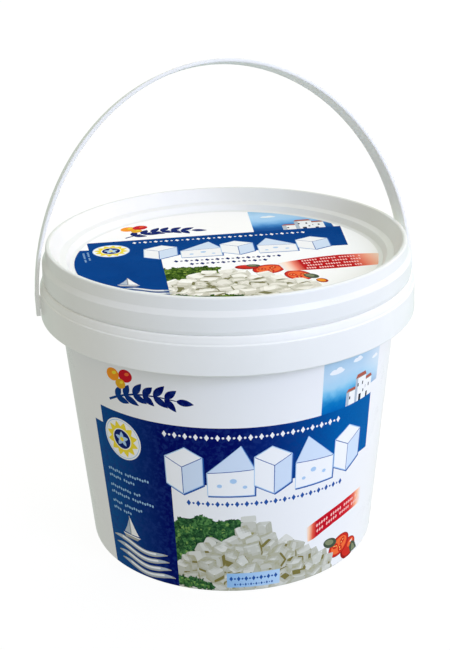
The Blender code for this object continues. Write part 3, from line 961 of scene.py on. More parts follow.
def body_sheet():
    s = Print(INKS)
    s.add(rect(-100 * ARC, LABEL_Z0, 80 * ARC, LABEL_Z1), "ground")
    # picture panel
    s.add(b((18.5, 96), (41.5, 96), (41.5, 102.4), (47.0, 102.4), (47.0, 121.5), (44.0, 123.0), (31.0, 124.2), (18.5, 124.4)), "sky")
    clouds(s, [(24.0 * ARC, 118.2, 9.0), (33.5 * ARC, 120.4, 7.0), (43.8 * ARC, 116.8, 5.5)])
    village(s, 28.6 * ARC, 96.4, 1.24)
    # parsley behind, heap of cubes, parsley in front
    foliage(s, b((-33.5, 2.6), (-9, 20), (-8.5, 42), (-10.5, 44.6), (-13, 45.2), (-15.4, 44.0), (-18, 43.2), (-20.0, 45.0),
                 (-23, 46.3), (-26, 45.2), (-28.5, 43.8), (-31, 42.6), (-33.5, 41.2)), 520, 2.0, 11)
    crest = piecewise([(t * ARC, z) for t, z in ((-33.5, 22), (-30, 26.5), (-25, 34), (-18, 38), (-12, 42), (-8.5, 47), (-3, 47.5),
                                                 (0, 41), (5, 34.5), (12, 31), (18, 23), (23, 20), (27.5, 15), (30.5, 4))])
    tomato_whole(s, 38.6 * ARC, 7.4, 7.2)
    tomato_half(s, 32.4 * ARC, 13.0, 8.6, 0.3, 0.74)
    s.add(b((40.6, 2.5), (45.8, 2.5), (44.4, 5.8), (42.6, 9.0), (40.6, 9.8), (39.4, 7.0)), "olive_dark")
    s.add(b((41.4, 3.4), (44.2, 3.4), (42.8, 6.8), (41.2, 8.2)), "olive")
    s.add(disc(27.0 * ARC, 17.6, 5.2, 3.0, 22, -0.35), "olive_dark")
    s.add(disc(26.6 * ARC, 18.2, 3.3, 1.6, 18, -0.35), "olive")
    heap(s, crest, -33.5 * ARC, 30.5 * ARC, 1.8, 7.8, 23)
    foliage(s, b((-33.5, 2.6), (-19.5, 2.6), (-21.0, 5.6), (-24.5, 6.6), (-28.0, 7.8), (-31.0, 7.2), (-33.5, 8.4)), 110, 1.5, 12)
    # banner and column
    s.add(b((-61, 97.5), (-61, 87.5), (-65.5, 87.5), (-65, LABEL_Z0), (-33.5, LABEL_Z0), (-33.5, 65), (44.3, 65), (43.5, 96.7)), "navy")
    beads(s, along(b((-34.5, 91.9), (26, 91.5)), 35), 1.15, 0.62, "white")
    frieze(s, lambda p: (-36.5 * ARC + p[0] * 1.0, 58.2 + p[1] * 1.03))
    beads(s, along(b((-27.5, 54), (29.5, 53.8)), 35), 1.15, 0.62, "line_blue")
    # flower badge
    cx, cy = -52.0 * ARC, 82.3
    s.add(disc(cx, cy, 11.6, n=48), "white")
    s.add(disc(cx, cy, 10.9, n=44), "pale_blue")
    s.add(disc(cx, cy, 10.5, n=44), "white")
    for i in range(12):
        s.add(leaf(cx, cy, 10.1, 4.9, 2 * math.pi * (i + 0.5) / 12), "yellow")
    s.add(disc(cx, cy, 5.9, n=36), "white")
    s.add(disc(cx, cy, 5.4, n=36), "deep_blue")
    for i in range(5):
        s.add(leaf(cx, cy, 4.3, 2.3, 2 * math.pi * i / 5 + 0.3), "pale_blue")
    s.add(disc(cx, cy, 1.25, n=16), "yellow")
    # rows of dots
    for z, t1 in ((61.4, -40.5), (57.4, -47.5), (51.6, -45.0), (47.6, -40.5), (42.0, -45.5), (38.0, -51.0)):
        n = int((t1 + 61) * ARC / 1.55)
        for i in range(n):
            if (i * 7 + int(z)) % 11 == 0:
                continue
            x = -61 * ARC + 1.55 * i
            s.add(disc(x, z + 0.25 * ((i * 5) % 3 - 1), 0.60, 0.82, 8), "dot_blue")
    # waves with a boat
    waves(s, -64.3 * ARC, -36.5 * ARC, 19.4, 4, 4.5, 1.3, 2.9, 5)
    sail_boat(s, -53.5 * ARC, 24.2, 5.2)
    # olive sprig
    stem = [(-55.5 * ARC, 103.5), (-50.5 * ARC, 107.4), (-45.5 * ARC, 110.0), (-40.0 * ARC, 111.4), (-34.5 * ARC, 111.6), (-29.5 * ARC, 110.6)]
    stem = along(stem, 8)
    sprig(s, stem, "navy", 8.4, 3.7, 4,
          [(-52.5 * ARC, 118.3, 4.0, "orange", "yellow"), (-47.2 * ARC, 119.2, 4.0, "red", "tomato_light"),
           (-49.6 * ARC, 114.2, 3.1, "gold", "yellow")])
    s.add(rect(-15 * ARC, 3.2, 5 * ARC, 12.0), "strip")
    beads(s, along(b((-13.4, 8.6), (3.4, 8.6)), 13), 1.0, 0.6, "line_blue")
    beads(s, along(b((-12.0, 5.0), (2.0, 5.0)), 15), 0.6, 0.35, "line_blue")
    # ribbon
    top = [(15.2, 33.0), (19, 35.4), (24, 37.8), (28, 39.2), (34, 40.8), (40, 41.6), (43.6, 41.8)]
    low = [(44.0, 32.2), (41, 32.0), (35, 31.3), (28, 29.6), (23, 27.4), (18.5, 24.8), (16.0, 24.2)]
    s.add(b(*(top + low)), "ribbon")
    for k, (a, n) in enumerate(((0.33, 19), (0.67, 21))):
        mid = [(ta + (tb - ta) * a, za + (zb - za) * a) for (ta, za), (tb, zb) in zip(top, low[::-1])]
        pts = along(b(*mid), 26)[4:4 + n]
        for i, (x, y) in enumerate(pts):
            if (i + 2 * k) % 6 != 5:
                s.add([(x - 0.66, y - 0.15), (x, y - 1.15), (x + 0.66, y + 0.15), (x, y + 1.15)], "blush")
    return s


FOOT_LEAN = math.atan2(WALL_R - BASE_R, COLLAR_Z0)
FOOT_C = BASE_R - BASE_ROUND * (1 - math.sin(FOOT_LEAN)) / math.cos(FOOT_LEAN)


def body_wrap(x, y):
    a, r, z = math.radians(x / ARC), wall_radius(y) + 0.1, y
    if y < BASE_ROUND * (1 - math.sin(FOOT_LEAN)):              # over the rounded foot
        turn = (BASE_ROUND * (1 - math.sin(FOOT_LEAN)) - y) / BASE_ROUND + FOOT_LEAN
        r, z = FOOT_C + (BASE_ROUND + 0.1) * math.cos(turn), BASE_ROUND - (BASE_ROUND + 0.1) * math.sin(turn)
    return r * MM * math.sin(a), -r * MM * math.cos(a), z * MM


def body_normal(x, y):
    a, lean = math.radians(x / ARC), FOOT_LEAN
    if y < BASE_ROUND * (1 - math.sin(FOOT_LEAN)):
        lean = (BASE_ROUND * (1 - math.sin(FOOT_LEAN)) - y) / BASE_ROUND + FOOT_LEAN
    return math.sin(a) * math.cos(lean), -math.cos(a) * math.cos(lean), -math.sin(lean)


# ---- the label on the lid: x, y as on the lid, seen from above ----------------------------------------------------
LID_LABEL_R = 78.6


def lid_sheet():
    s = Print(INKS)
    s.add(disc(0, 0, LID_LABEL_R, n=180), "ground")
    def skew(ox, oy, kx=0.15, ky=-0.075):
        return lambda p: (ox + p[0] + kx * p[1], oy + p[1] + ky * p[0])
    # picture panel
    s.add([(23.2, 33.0), (68.3, 31.0), (69.2, 42.0), (50.0, 66.0), (29.4, 75.0)], "sky")
    part = Print(INKS)
    clouds(part, [(8.0, 25.5, 9.0), (21.0, 29.0, 8.0)])
    village(part, 13.5, -2.0, 1.48)
    part.copy_to(s, skew(26.0, 35.0))
    # food
    foliage(s, [(-38.4, -46), (-36.3, -13.2), (-31, -13.6), (-27, -12.4), (-22, -14.4), (-17, -14.2), (-12.5, -16.0), (-8.0, -17.2),
                (-9.4, -22.0), (-5.0, -40.0)], 420, 2.0, 31)
    tomato_half(s, 15.5, -26.8, 8.4, 0.2, 0.8)
    tomato_half(s, 27.4, -39.6, 8.0, 2.0, 0.78)
    s.add(disc(5.6, -21.0, 6.0, 3.4, 24, -0.25), "tomato_dark")
    s.add(disc(6.0, -20.4, 5.0, 2.5, 22, -0.25), "tomato")
    s.add(disc(9.4, -19.6, 3.6, 2.1, 18, -0.3), "olive_dark")
    s.add(disc(9.0, -19.1, 2.2, 1.1, 14, -0.3), "olive")
    s.add(disc(33.2, -42.4, 4.2, 3.0, 20, -0.9), "olive_dark")
    s.add(disc(32.6, -41.6, 2.6, 1.6, 16, -0.9), "olive")
    s.add(disc(36.4, -50.0, 3.4, 2.6, 18, -1.1), "tomato_dark")
    s.add(disc(36.2, -49.6, 2.6, 1.8, 16, -1.1), "orange")
    crest = piecewise([(-38.6, -32), (-36, -30), (-30, -27.5), (-20, -21.5), (-10, -18.5), (0, -20.5), (8, -25.5), (14, -31),
                       (20, -36), (25, -42), (30, -47.5), (34, -56)])
    heap(s, crest, -38.4, 34.0, -76.0, 8.2, 41)
    foliage(s, [(-40.3, -67.0), (-39.3, -48.6), (-34, -51.5), (-26, -54.5), (-18, -57.0), (-6, -58.6), (-8, -66), (-24, -73.4)],
            190, 1.9, 33)
    # banner and column
    s.add([(-68, 40.5), (-68.3, 28.5), (-74.5, 29.4), (-86, 0), (-74, -46), (-41.2, -74), (-38.7, -48.5), (-33.3, 8.6),
           (65.7, -1.3), (72, 31.8)], "lid_blue")
    beads(s, along([(-43, 34.2), (49, 26.8)], 33), 1.15, 0.7, "white")
    frieze(s, lambda p: (-44.5 + p[0] * 0.93 + p[1] * 0.13, 4.2 + p[1] * 0.86 - 0.085 * p[0]))
    beads(s, along([(-27, -2.2), (26, -8.0)], 21), 1.25, 0.8, "deep_blue")
    beads(s, along([(-20, -8.4), (17.5, -12.4)], 15), 1.25, 0.8, "deep_blue")
    # badge
    cx, cy = -57.0, 24.0
    s.add(disc(cx, cy, 9.9, n=44), "pale_blue")
    s.add(disc(cx, cy, 9.5, n=44), "white")
    for i in range(12):
        s.add(leaf(cx, cy, 9.2, 4.4, 2 * math.pi * (i + 0.5) / 12), "yellow")
    s.add(disc(cx, cy, 5.3, n=32), "white")
    s.add(disc(cx, cy, 4.8, n=32), "deep_blue")
    for i in range(5):
        s.add(leaf(cx, cy, 3.9, 2.1, 2 * math.pi * i / 5 + 0.3), "pale_blue")
    s.add(disc(cx, cy, 1.1, n=14), "yellow")
    # rows of dots on the outer edge of the blue field, standing upright
    for x, y0, y1 in ((-72.0, 10.0, 26.0), (-69.6, 12.5, 27.0)):
        for i in range(int((y1 - y0) / 1.5)):
            if i % 7 != 3:
                s.add(disc(x - 0.0 + 0.03 * i, y0 + 1.5 * i, 0.6, 0.5, 8), "dot_blue")
    # waves and boat
    part = Print(INKS)
    waves(part, 2.0, 26.0, 9.0, 4, 3.9, 0.9, 2.4, 6)
    sail_boat(part, 5.0, 14.2, 4.4)
    part.copy_to(s, skew(-62.5, -43.0, 0.10, -0.35))
    # sprig
    stem = along([(-46.5, 43.6), (-38, 48.6), (-29, 51.0), (-19, 51.0), (-9, 48.0)], 8)
    sprig(s, stem, "deep_blue", 8.8, 4.1, 8,
          [(-42.5, 59.4, 4.6, "orange", "yellow"), (-35.8, 60.6, 4.3, "red", "tomato_light"), (-38.6, 54.8, 3.2, "gold", "yellow")])
    # ribbon
    top = [(22.0, -19.6), (30, -18.0), (38, -16.6), (46, -15.7), (56, -15.4), (66, -16.4), (76.6, -18.6)]
    low = [(70.4, -35.6), (62, -35.3), (53, -35.1), (44, -34.7), (36, -33.9), (29, -33.0), (23.0, -32.2)]
    s.add(top + low, "ribbon")
    for k, a in enumerate((0.17, 0.39, 0.61, 0.83)):
        mid = [(xa + (xb - xa) * a, ya + (yb - ya) * a) for (xa, ya), (xb, yb) in zip(top, low[::-1])]
        pts = along(mid, 38)[9:31]
        for i, (x, y) in enumerate(pts):
            if (i + 3 * k) % 7 != 6:
                s.add([(x - 0.6, y - 0.1), (x, y - 1.3), (x + 0.6, y + 0.1), (x, y + 1.3)], "blush")
    return s


def lid_wrap(x, y):
    return x * MM, y * MM, (PANEL_Z + 0.08) * MM


# ============================================================================
# inks
# ============================================================================
def film(k, shader, coord, rough=0.28, gloss=0.015):
    """The label's film: nearly even gloss with a very fine grain and soft moulding waves."""
    grain = k.noise(coord, 1500.0, 2.0, 0.6)
    wave = k.noise(coord, 48.0, 2.0, 0.5)
    shader.inputs["IOR"].default_value = 1.49
    shader.inputs["Specular IOR Level"].default_value = gloss
    k.l.new(k.math("ADD", k.maprange(wave, 0.3, 0.7, rough - 0.02, rough + 0.03), k.maprange(grain, 0.3, 0.7, -0.01, 0.02)),
            shader.inputs["Roughness"])
    height = k.math("ADD", k.math("MULTIPLY", grain, 0.035), k.math("MULTIPLY", wave, 0.3))
    bump = k.add("ShaderNodeBump", {"Strength": 0.2, "Distance": 0.0004, "Height": height})
    k.l.new(bump.outputs[0], shader.inputs["Normal"])


def ink(name, colour, gloss=0.015):
    mat, k, shader, coord = material("ink_" + name)
    shader.inputs["Base Color"].default_value = (*colour, 1.0)
    film(k, shader, coord, gloss=gloss)
    return mat


GROUND = (0.845, 0.85, 0.855)
PLAIN = {
    "ground": GROUND, "pale_blue": srgb(168, 200, 232), "line_blue": srgb(38, 84, 158), "icon_white": (0.87, 0.88, 0.89),
    "icon_side": srgb(206, 221, 240), "white": (0.87, 0.875, 0.88), "grey": srgb(176, 188, 200),
    "warm_grey": srgb(168, 168, 162), "yellow": srgb(236, 214, 60), "gold": srgb(222, 168, 40), "orange": srgb(240, 150, 40),
    "red": srgb(196, 26, 40), "deep_red": srgb(150, 18, 26), "terracotta": srgb(172, 92, 74), "dark": srgb(40, 46, 58),
    "deep_blue": srgb(10, 34, 104), "dot_blue": srgb(146, 184, 216), "olive_dark": srgb(70, 84, 66), "olive": srgb(128, 136, 104),
    "gap_light": (0.325, 0.305, 0.125), "gap_mid": (0.215, 0.195, 0.055), "gap_dark": (0.10, 0.088, 0.022),
    "tomato": srgb(204, 44, 32), "tomato_light": srgb(236, 108, 56), "tomato_dark": srgb(150, 26, 22), "seed": srgb(240, 200, 110),
    "cloud": (0.85, 0.88, 0.90), "blush": srgb(246, 200, 196),
    "cheese0": (0.70, 0.70, 0.645), "cheese1": (0.635, 0.638, 0.58), "cheese2": (0.585, 0.59, 0.527),
    "cheese3": (0.54, 0.542, 0.475), "cheese4": (0.50, 0.50, 0.425), "cheese5": (0.465, 0.465, 0.38),
    "cheese6": (0.435, 0.43, 0.325), "cheese7": (0.40, 0.392, 0.265), "cheese8": (0.345, 0.33, 0.185),
    "cheese9": (0.275, 0.252, 0.10), "cheese10": (0.20, 0.175, 0.052), "cheese11": (0.13, 0.105, 0.025),
    "green0": srgb(36, 76, 46), "green1": srgb(48, 94, 54), "green2": srgb(68, 116, 64), "green3": srgb(108, 148, 76),
}
LID = {                                                # the same picture printed lighter and stronger on the lid
    "cheese0": (0.95, 0.94, 0.88), "cheese1": (0.905, 0.89, 0.82), "cheese2": (0.86, 0.845, 0.77),
    "cheese3": (0.80, 0.782, 0.705), "cheese4": (0.735, 0.714, 0.632), "cheese5": (0.655, 0.634, 0.546),
    "cheese6": (0.59, 0.575, 0.475), "cheese7": (0.51, 0.495, 0.385), "cheese8": (0.40, 0.39, 0.27),
    "cheese9": (0.28, 0.275, 0.16), "cheese10": (0.19, 0.185, 0.08), "cheese11": (0.12, 0.115, 0.035),
    "gap_light": (0.34, 0.32, 0.14),
    "gap_mid": (0.20, 0.19, 0.065), "gap_dark": (0.09, 0.085, 0.02), "green0": srgb(42, 72, 8), "green1": srgb(66, 98, 26),
    "green2": srgb(92, 122, 38), "green3": srgb(132, 156, 66),
}


def leafy(name, colour, gloss=0.015):
    """Curled leaves: the green broken up by finer darker and brighter flecks."""
    mat, k, shader, coord = material("ink_" + name)
    curl = k.noise(coord, 620.0, 3.0, 0.62, 0.5)
    fleck = k.noise(coord, 1300.0, 2.0, 0.55)
    dark = tuple(c * f for c, f in zip(colour, (0.30, 0.42, 0.40)))
    bright = tuple(min(1.0, c * f + a) for c, f, a in zip(colour, (1.7, 1.5, 1.3), (0.030, 0.040, 0.012)))
    base = k.mix(k.maprange(curl, 0.36, 0.52, 1.0, 0.0), colour, dark)
    base = k.mix(k.maprange(curl, 0.55, 0.66, 0.0, 0.85), base, bright)
    base = k.mix(k.maprange(fleck, 0.60, 0.70, 0.0, 0.7), base, bright)
    k.l.new(base, shader.inputs["Base Color"])
    film(k, shader, coord, gloss=gloss)
    return mat


def turn_of(k, coord):
    """Turn from the front (-Y) towards +X, in degrees."""
    sep = k.add("ShaderNodeSeparateXYZ", {0: coord})
    angle = k.math("ARCTAN2", sep.outputs[0], k.math("MULTIPLY", sep.outputs[1], -1.0))
    return k.math("MULTIPLY", angle, 57.29578), sep


def stops(pairs, lo, hi):
    return [((v - lo) / (hi - lo), c) for v, c in pairs]


def body_inks():
    mats = {n: leafy(n, c) if n in GREENS else ink(n, c) for n, c in PLAIN.items()}
    # the banner's blue: deep in the middle, mottled like flaked paint, greener at the left and lighter at the right
    mat, k, shader, coord = material("ink_banner")
    turn, sep = turn_of(k, coord)
    base = k.ramp(k.maprange(turn, -66, 45, 0, 1), stops([
        (-66, (0.002, 0.086, 0.300)), (-56, (0.002, 0.066, 0.250)), (-46, (0.002, 0.028, 0.170)), (-36, (0.0008, 0.004, 0.108)),
        (-12, (0.0008, 0.0035, 0.105)), (0, (0.0015, 0.018, 0.165)), (14, (0.0012, 0.062, 0.275)), (26, (0.001, 0.104, 0.365)),
        (45, (0.001, 0.118, 0.385))], -66, 45))
    blots = k.noise(coord, 420.0, 3.0, 0.62, 0.3)
    speck = k.noise(coord, 1100.0, 2.0, 0.5)
    amount = k.math("MULTIPLY", k.maprange(blots, 0.46, 0.64, 0.0, 1.0), k.maprange(turn, 2.0, 26.0, 0.55, 0.05))
    base = k.mix(amount, base, (0.013, 0.040, 0.205))
    base = k.mix(k.maprange(speck, 0.35, 0.65, 0.0, 0.12), base, (0.002, 0.010, 0.060))
    k.l.new(base, shader.inputs["Base Color"])
    film(k, shader, coord, gloss=0.008)
    mats["navy"] = mat
    # sky and sea of the picture panel
    mat, k, shader, coord = material("ink_panel")
    turn, sep = turn_of(k, coord)
    wisp = k.noise(coord, 160.0, 3.0, 0.55)
    height = k.math("ADD", k.math("MULTIPLY", sep.outputs[2], 1000.0), k.maprange(wisp, 0.3, 0.7, -1.2, 1.2))
    base = k.ramp(k.maprange(height, 97, 125, 0, 1), stops([
        (97, srgb(0, 98, 176)), (101.5, srgb(10, 118, 186)), (104.5, srgb(64, 156, 208)), (107.6, srgb(122, 190, 226)),
        (111, srgb(166, 208, 232)), (116, srgb(184, 212, 232)), (125, srgb(172, 204, 226))], 97, 125))
    base = k.mix(k.maprange(turn, 36.0, 47.5, 0.0, 0.55), base, GROUND)
    k.l.new(base, shader.inputs["Base Color"])
    film(k, shader, coord)
    mats["sky"] = mat
    # pale strip under the food
    mat, k, shader, coord = material("ink_strip")
    turn, sep = turn_of(k, coord)
    soft = k.noise(coord, 90.0, 2.0, 0.5)
    base = k.ramp(k.maprange(turn, -15, 5, 0, 1), [(0.0, srgb(134, 180, 224)), (0.5, srgb(160, 196, 232)), (1.0, srgb(178, 208, 236))])
    base = k.mix(k.maprange(soft, 0.35, 0.65, 0.0, 0.12), base, srgb(200, 222, 240))
    k.l.new(base, shader.inputs["Base Color"])
    film(k, shader, coord)
    mats["strip"] = mat
    # ribbon: crimson that melts into warm cream at both ends
    mat, k, shader, coord = material("ink_ribbon")
    turn, sep = turn_of(k, coord)
    base = k.ramp(k.maprange(turn, 15, 44, 0, 1), stops([
        (15, GROUND), (16.4, srgb(250, 206, 170)), (18.0, srgb(226, 92, 70)), (19.6, srgb(192, 16, 36)), (30, srgb(196, 16, 38)),
        (36, srgb(206, 32, 44)), (38.6, srgb(226, 96, 76)), (41.2, srgb(248, 190, 150)), (44, GROUND)], 15, 44))
    k.l.new(base, shader.inputs["Base Color"])
    film(k, shader, coord)
    mats["ribbon"] = mat
    return mats


LID_GLOSS = 0.003


def lid_inks():
    mats = {n: (leafy if n in GREENS else ink)("lid_" + n, LID.get(n, c), LID_GLOSS) for n, c in PLAIN.items()}
    # painted light: the lid's white film gets a brighter white than the wall's GROUND, standing in for the stronger
    # light falling on the lid's top
    mats["ground"] = ink("lid_ground", (0.955, 0.958, 0.955), LID_GLOSS)
    mat, k, shader, coord = material("ink_lid_banner")
    soft = k.noise(coord, 60.0, 3.0, 0.5)
    fine = k.noise(coord, 700.0, 2.0, 0.6)
    base = k.mix(k.maprange(soft, 0.3, 0.7, 0.0, 1.0), (0.0010, 0.048, 0.232), (0.0012, 0.056, 0.260))
    base = k.mix(k.maprange(fine, 0.35, 0.65, 0.0, 0.10), base, (0.004, 0.030, 0.140))
    k.l.new(base, shader.inputs["Base Color"])
    film(k, shader, coord, gloss=0.001)
    mats["lid_blue"] = mat
    mat, k, shader, coord = material("ink_lid_panel")
    sep = k.add("ShaderNodeSeparateXYZ", {0: coord})
    wisp = k.noise(coord, 120.0, 3.0, 0.55)
    height = k.math("ADD", k.math("MULTIPLY", sep.outputs[1], 1000.0), k.maprange(wisp, 0.3, 0.7, -1.6, 1.6))
    height = k.math("ADD", height, k.math("MULTIPLY", sep.outputs[0], 80.0))
    base = k.ramp(k.maprange(height, 36, 78, 0, 1), stops([
        (36, srgb(8, 66, 138)), (42, srgb(24, 90, 160)), (46, srgb(66, 132, 196)), (50, srgb(112, 172, 222)),
        (56, srgb(160, 204, 240)), (66, srgb(178, 214, 242)), (78, srgb(140, 190, 222))], 36, 78))
    k.l.new(base, shader.inputs["Base Color"])
    film(k, shader, coord, gloss=LID_GLOSS)
    mats["sky"] = mat
    mat, k, shader, coord = material("ink_lid_ribbon")
    sep = k.add("ShaderNodeSeparateXYZ", {0: coord})
    across = k.math("MULTIPLY", sep.outputs[0], 1000.0)
    base = k.ramp(k.maprange(across, 22, 77, 0, 1), stops([
        (22, GROUND), (26, srgb(252, 224, 204)), (30, srgb(236, 132, 110)), (33.5, srgb(188, 18, 24)), (48, srgb(186, 18, 22)),
        (59, srgb(196, 30, 32)), (64, srgb(232, 110, 88)), (70, srgb(246, 176, 148)), (77, srgb(250, 226, 208))], 22, 77))
    k.l.new(base, shader.inputs["Base Color"])
    film(k, shader, coord, gloss=LID_GLOSS)
    mats["ribbon"] = mat
    return mats


# ============================================================================
# the pieces
# ============================================================================
def joined(parts):
    bm = bmesh.new()
    for part in parts:
        mesh = bpy.data.meshes.new("part")
        part.to_mesh(mesh)
        part.free()
        bm.from_mesh(mesh)
        bpy.data.meshes.remove(mesh)
    return bm


WHITE = (0.835, 0.845, 0.83)
pail_plastic = plastic("pail_white", WHITE, 0.36, 0.035)
lid_plastic = plastic("lid_white", (0.80, 0.813, 0.80), 0.33, 0.03)
bail_plastic = plastic("bail_white", (0.83, 0.84, 0.83), 0.36, 0.035, relief=0.04)

pail = add_object("pail_body_moulded", turned(pail_profile()), [pail_plastic])
bores = []
for side in (-1, 1):                                  # the bail's two pin holes
    cutter = bmesh.new()
    bmesh.ops.create_cone(cutter, cap_ends=True, segments=40, radius1=PIN_HOLE_R * MM, radius2=PIN_HOLE_R * MM, depth=6.0 * MM,
                          matrix=Matrix.Translation((side * (COLLAR_R0 - 0.6) * MM, 0, PIVOT_Z * MM)) @ Matrix.Rotation(math.radians(90), 4, "Y"))
    bores.append(cutter)
cutter = add_object("bores", joined(bores), [pail_plastic])
cut = pail.modifiers.new("bores", "BOOLEAN")
cut.operation = "DIFFERENCE"
cut.object = cutter
done = bpy.data.meshes.new_from_object(pail.evaluated_get(bpy.context.evaluated_depsgraph_get()))
pail.modifiers.clear()
pail.data = done
bpy.data.objects.remove(cutter)
pail.data.shade_smooth()
pail.data.set_sharp_from_angle(angle=math.radians(32))

lid = add_object("lid_moulded", turned(lid_profile()), [lid_plastic])
bail = add_object("bail_moulded", at_pivot(joined([bail_mesh()] + [f(s) for s in (-1, 1) for f in (pin_mesh, hub_mesh)])),
                  [bail_plastic], 36.0)

for obj, body, node, slot in ((pail, "pail", "pail_body", "pail_plastic"), (lid, "pail", "lid", "lid_plastic"),
                              (bail, "bail", "bail", "bail_plastic")):
    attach(obj, body)
    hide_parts(node)

bail.visible_diffuse = False                           # milky plastic: it throws hardly any shade on the collar beside it

plain_mats = body_inks()
sheet = body_sheet()
lines = [((t * ARC, LABEL_Z0), (t * ARC, LABEL_Z1)) for t in range(-97, 80, 3)]
lines += [((-100 * ARC, z), (80 * ARC, z)) for z in (1.4, 1.73, 2.05)]
groups = {"wall_print_fields": GRADED, "wall_print_shapes": [i for i in INKS if i not in GRADED]}
fronts = print_objects(sheet, lines, body_wrap, body_normal, plain_mats, groups)
for obj in fronts:
    back = bpy.data.objects.new(obj.name + "_back", obj.data)
    back.rotation_euler = (0, 0, math.pi)
    bpy.context.scene.collection.objects.link(back)
    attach(back, "pail")
    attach(obj, "pail")
groups = {"lid_print_fields": GRADED, "lid_print_shapes": [i for i in INKS if i not in GRADED]}
for obj in print_objects(lid_sheet(), [], lid_wrap, lambda x, y: (0.0, 0.0, 1.0), lid_inks(), groups):
    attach(obj, "pail")

# ============================================================================
# camera
# ============================================================================
PITCH, YAW, ROLL, TURNED = 0.384174, -0.00275, -0.0228814, 0.218448
forward = Vector((math.sin(YAW) * math.cos(PITCH), math.cos(YAW) * math.cos(PITCH), -math.sin(PITCH)))
right = forward.cross(Vector((0, 0, 1))).normalized()
up = right.cross(forward)
right, up = right * math.cos(ROLL) + up * math.sin(ROLL), -right * math.sin(ROLL) + up * math.cos(ROLL)
spin = Matrix.Rotation(-TURNED, 3, "Z")
axes = [spin @ v for v in (right, up, -forward)]
cam = bpy.data.cameras.new("camera")
cam.lens = 65.78
cam.sensor_width = 36.0
cam.sensor_fit = "AUTO"
cam.clip_start = 0.01
camera = bpy.data.objects.new("camera", cam)
camera.matrix_world = Matrix.Translation((-0.126827, -0.571319, 0.351967)) @ Matrix(axes).transposed().to_4x4()
bpy.context.scene.collection.objects.link(camera)
bpy.context.scene.camera = camera
bpy.context.scene.view_settings.view_transform = "Standard"

# ============================================================================
# studio
# ============================================================================
side = spin @ Vector((1, 0, 0))                        # to the right of the picture
away = spin @ Vector((0, 1, 0))                        # away from the camera


def lamp(name, place, target, size, power, colour):
    data = bpy.data.lights.new(name, "AREA")
    data.shape = "SQUARE"
    data.size = size
    data.energy = power
    data.color = colour
    obj = bpy.data.objects.new(name, data)
    obj.location = place
    obj.rotation_euler = (Vector(target) - Vector(place)).to_track_quat("-Z", "Y").to_euler()
    bpy.context.scene.collection.objects.link(obj)
    return obj


# the sky: an even level and one soft lobe on each side, which may also take light away; and the lamps' powers by colour
SKY = {"even": (1.12, 1.14, 1.095), "right": (-0.47, -0.33, -0.29), "left": (-0.49, -0.49, -0.48),
       "near": (-0.46, -0.46, -0.38), "far": (-0.28, -0.13, -0.17), "up": (0.10, 0.01, -0.08),
       "down": (-0.29, -0.33, -0.34)}
SHADE = {(-0.68, 0.0, 0.73): (-0.37, -0.37, -0.37), (-0.85, 0.0, -0.52): (0.22, 0.22, 0.21),     # darker up on the left,
         (0.35, 0.0, 0.94): (0.22, 0.22, 0.22)}                                              # lighter low down and overhead
LAMPS = {"key_side": (2.91, 0.85, 0.0), "key_near": (10.9, 12.0, 16.9), "key_far": (4.97, 3.17, 2.10), "top": (0.4, 0.4, 1.1),
         "front": (1.2, 1.3, 0.8)}
PLACES = {"front": (-side * 0.15 - away * 1.60 + Vector((0, 0, 0.75)), 0.70),
          "key_side": (side * 1.60 - away * 0.05 + Vector((0, 0, 0.50)), 0.60),
          "key_near": (side * 1.15 - away * 1.10 + Vector((0, 0, 0.85)), 0.70),
          "key_far": (side * 1.30 + away * 0.90 + Vector((0, 0, 0.60)), 0.60),
          "top": (side * 0.10 - away * 0.10 + Vector((0, 0, 1.60)), 0.90)}
for name, (place, size) in PLACES.items():
    colour = LAMPS[name]
    power = max(colour)
    if power > 0:
        lamp(name, place, (0, 0, 0.12), size, power, tuple(c / power for c in colour))

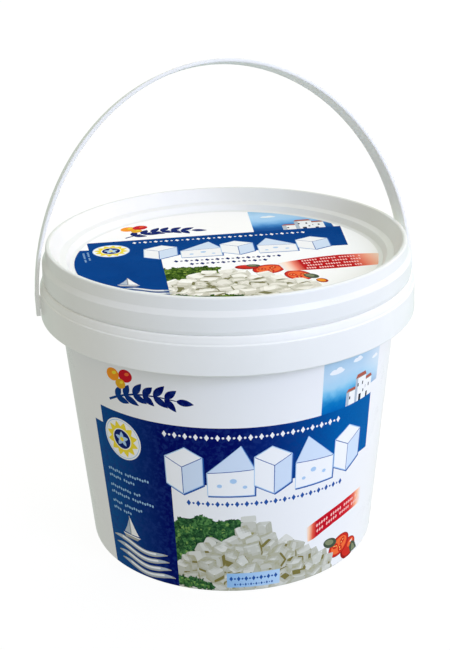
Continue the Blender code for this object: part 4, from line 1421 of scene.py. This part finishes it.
world = bpy.data.worlds.new("studio")
world.use_nodes = True
k = Nodes(world.node_tree)
direction = k.n.new("ShaderNodeTexCoord").outputs["Generated"]
total = None
for name, axis in (("even", None), ("right", side), ("left", -side), ("near", -away), ("far", away),
                   ("up", Vector((0, 0, 1))), ("down", Vector((0, 0, -1)))):
    if axis is None:
        scaled = k.add("ShaderNodeVectorMath", {0: SKY[name]}, operation="ADD").outputs[0]
    else:
        dot = k.add("ShaderNodeVectorMath", {0: direction, 1: axis}, operation="DOT_PRODUCT")
        amount = k.math("MAXIMUM", dot.outputs["Value"], 0.0)
        scaled = k.add("ShaderNodeVectorMath", {0: SKY[name], "Scale": amount}, operation="SCALE").outputs[0]
    total = scaled if total is None else k.add("ShaderNodeVectorMath", {0: total, 1: scaled}, operation="ADD").outputs[0]
for axis, tint in SHADE.items():
    dot = k.add("ShaderNodeVectorMath", {0: direction, 1: (side * axis[0] + away * axis[1] + Vector((0, 0, axis[2]))).normalized()},
                operation="DOT_PRODUCT")
    amount = k.math("POWER", k.math("MAXIMUM", dot.outputs["Value"], 0.0), 2.0)
    scaled = k.add("ShaderNodeVectorMath", {0: tint, "Scale": amount}, operation="SCALE").outputs[0]
    total = k.add("ShaderNodeVectorMath", {0: total, 1: scaled}, operation="ADD").outputs[0]
total = k.add("ShaderNodeVectorMath", {0: total, 1: (0.0, 0.0, 0.0)}, operation="MAXIMUM").outputs[0]
k.l.new(total, k.n["Background"].inputs["Color"])
bpy.context.scene.world = world

floor_mesh = bmesh.new()
bmesh.ops.create_circle(floor_mesh, cap_ends=True, segments=96, radius=6.0)
floor_mat, k, shader, coord = material("floor")
shader.inputs["Base Color"].default_value = (0.07, 0.07, 0.07, 1.0)
shader.inputs["Roughness"].default_value = 0.9
shader.inputs["Emission Color"].default_value = (1.0, 1.0, 1.0, 1.0)
shader.inputs["Emission Strength"].default_value = 0.925
floor = add_object("floor", floor_mesh, [floor_mat])
floor.location.z = -0.0003
floor.visible_diffuse = False                          # the sky stands in for its bounce
floor.visible_glossy = False
wall_mesh = bmesh.new()                                # a plain pale wall all round, only to be looked at
bmesh.ops.create_cone(wall_mesh, cap_ends=False, segments=96, radius1=5.9, radius2=5.9, depth=9.0)
wall_mat, k, shader, coord = material("backdrop")
shader.inputs["Base Color"].default_value = (0.0, 0.0, 0.0, 1.0)
shader.inputs["Roughness"].default_value = 1.0
shader.inputs["Specular IOR Level"].default_value = 0.0
shader.inputs["Emission Color"].default_value = (1.0, 1.0, 1.0, 1.0)
shader.inputs["Emission Strength"].default_value = 0.985
backdrop = add_object("backdrop", wall_mesh, [wall_mat])
backdrop.location.z = 4.4
backdrop.visible_diffuse = backdrop.visible_glossy = backdrop.visible_transmission = backdrop.visible_shadow = False

bpy.context.view_layer.update()
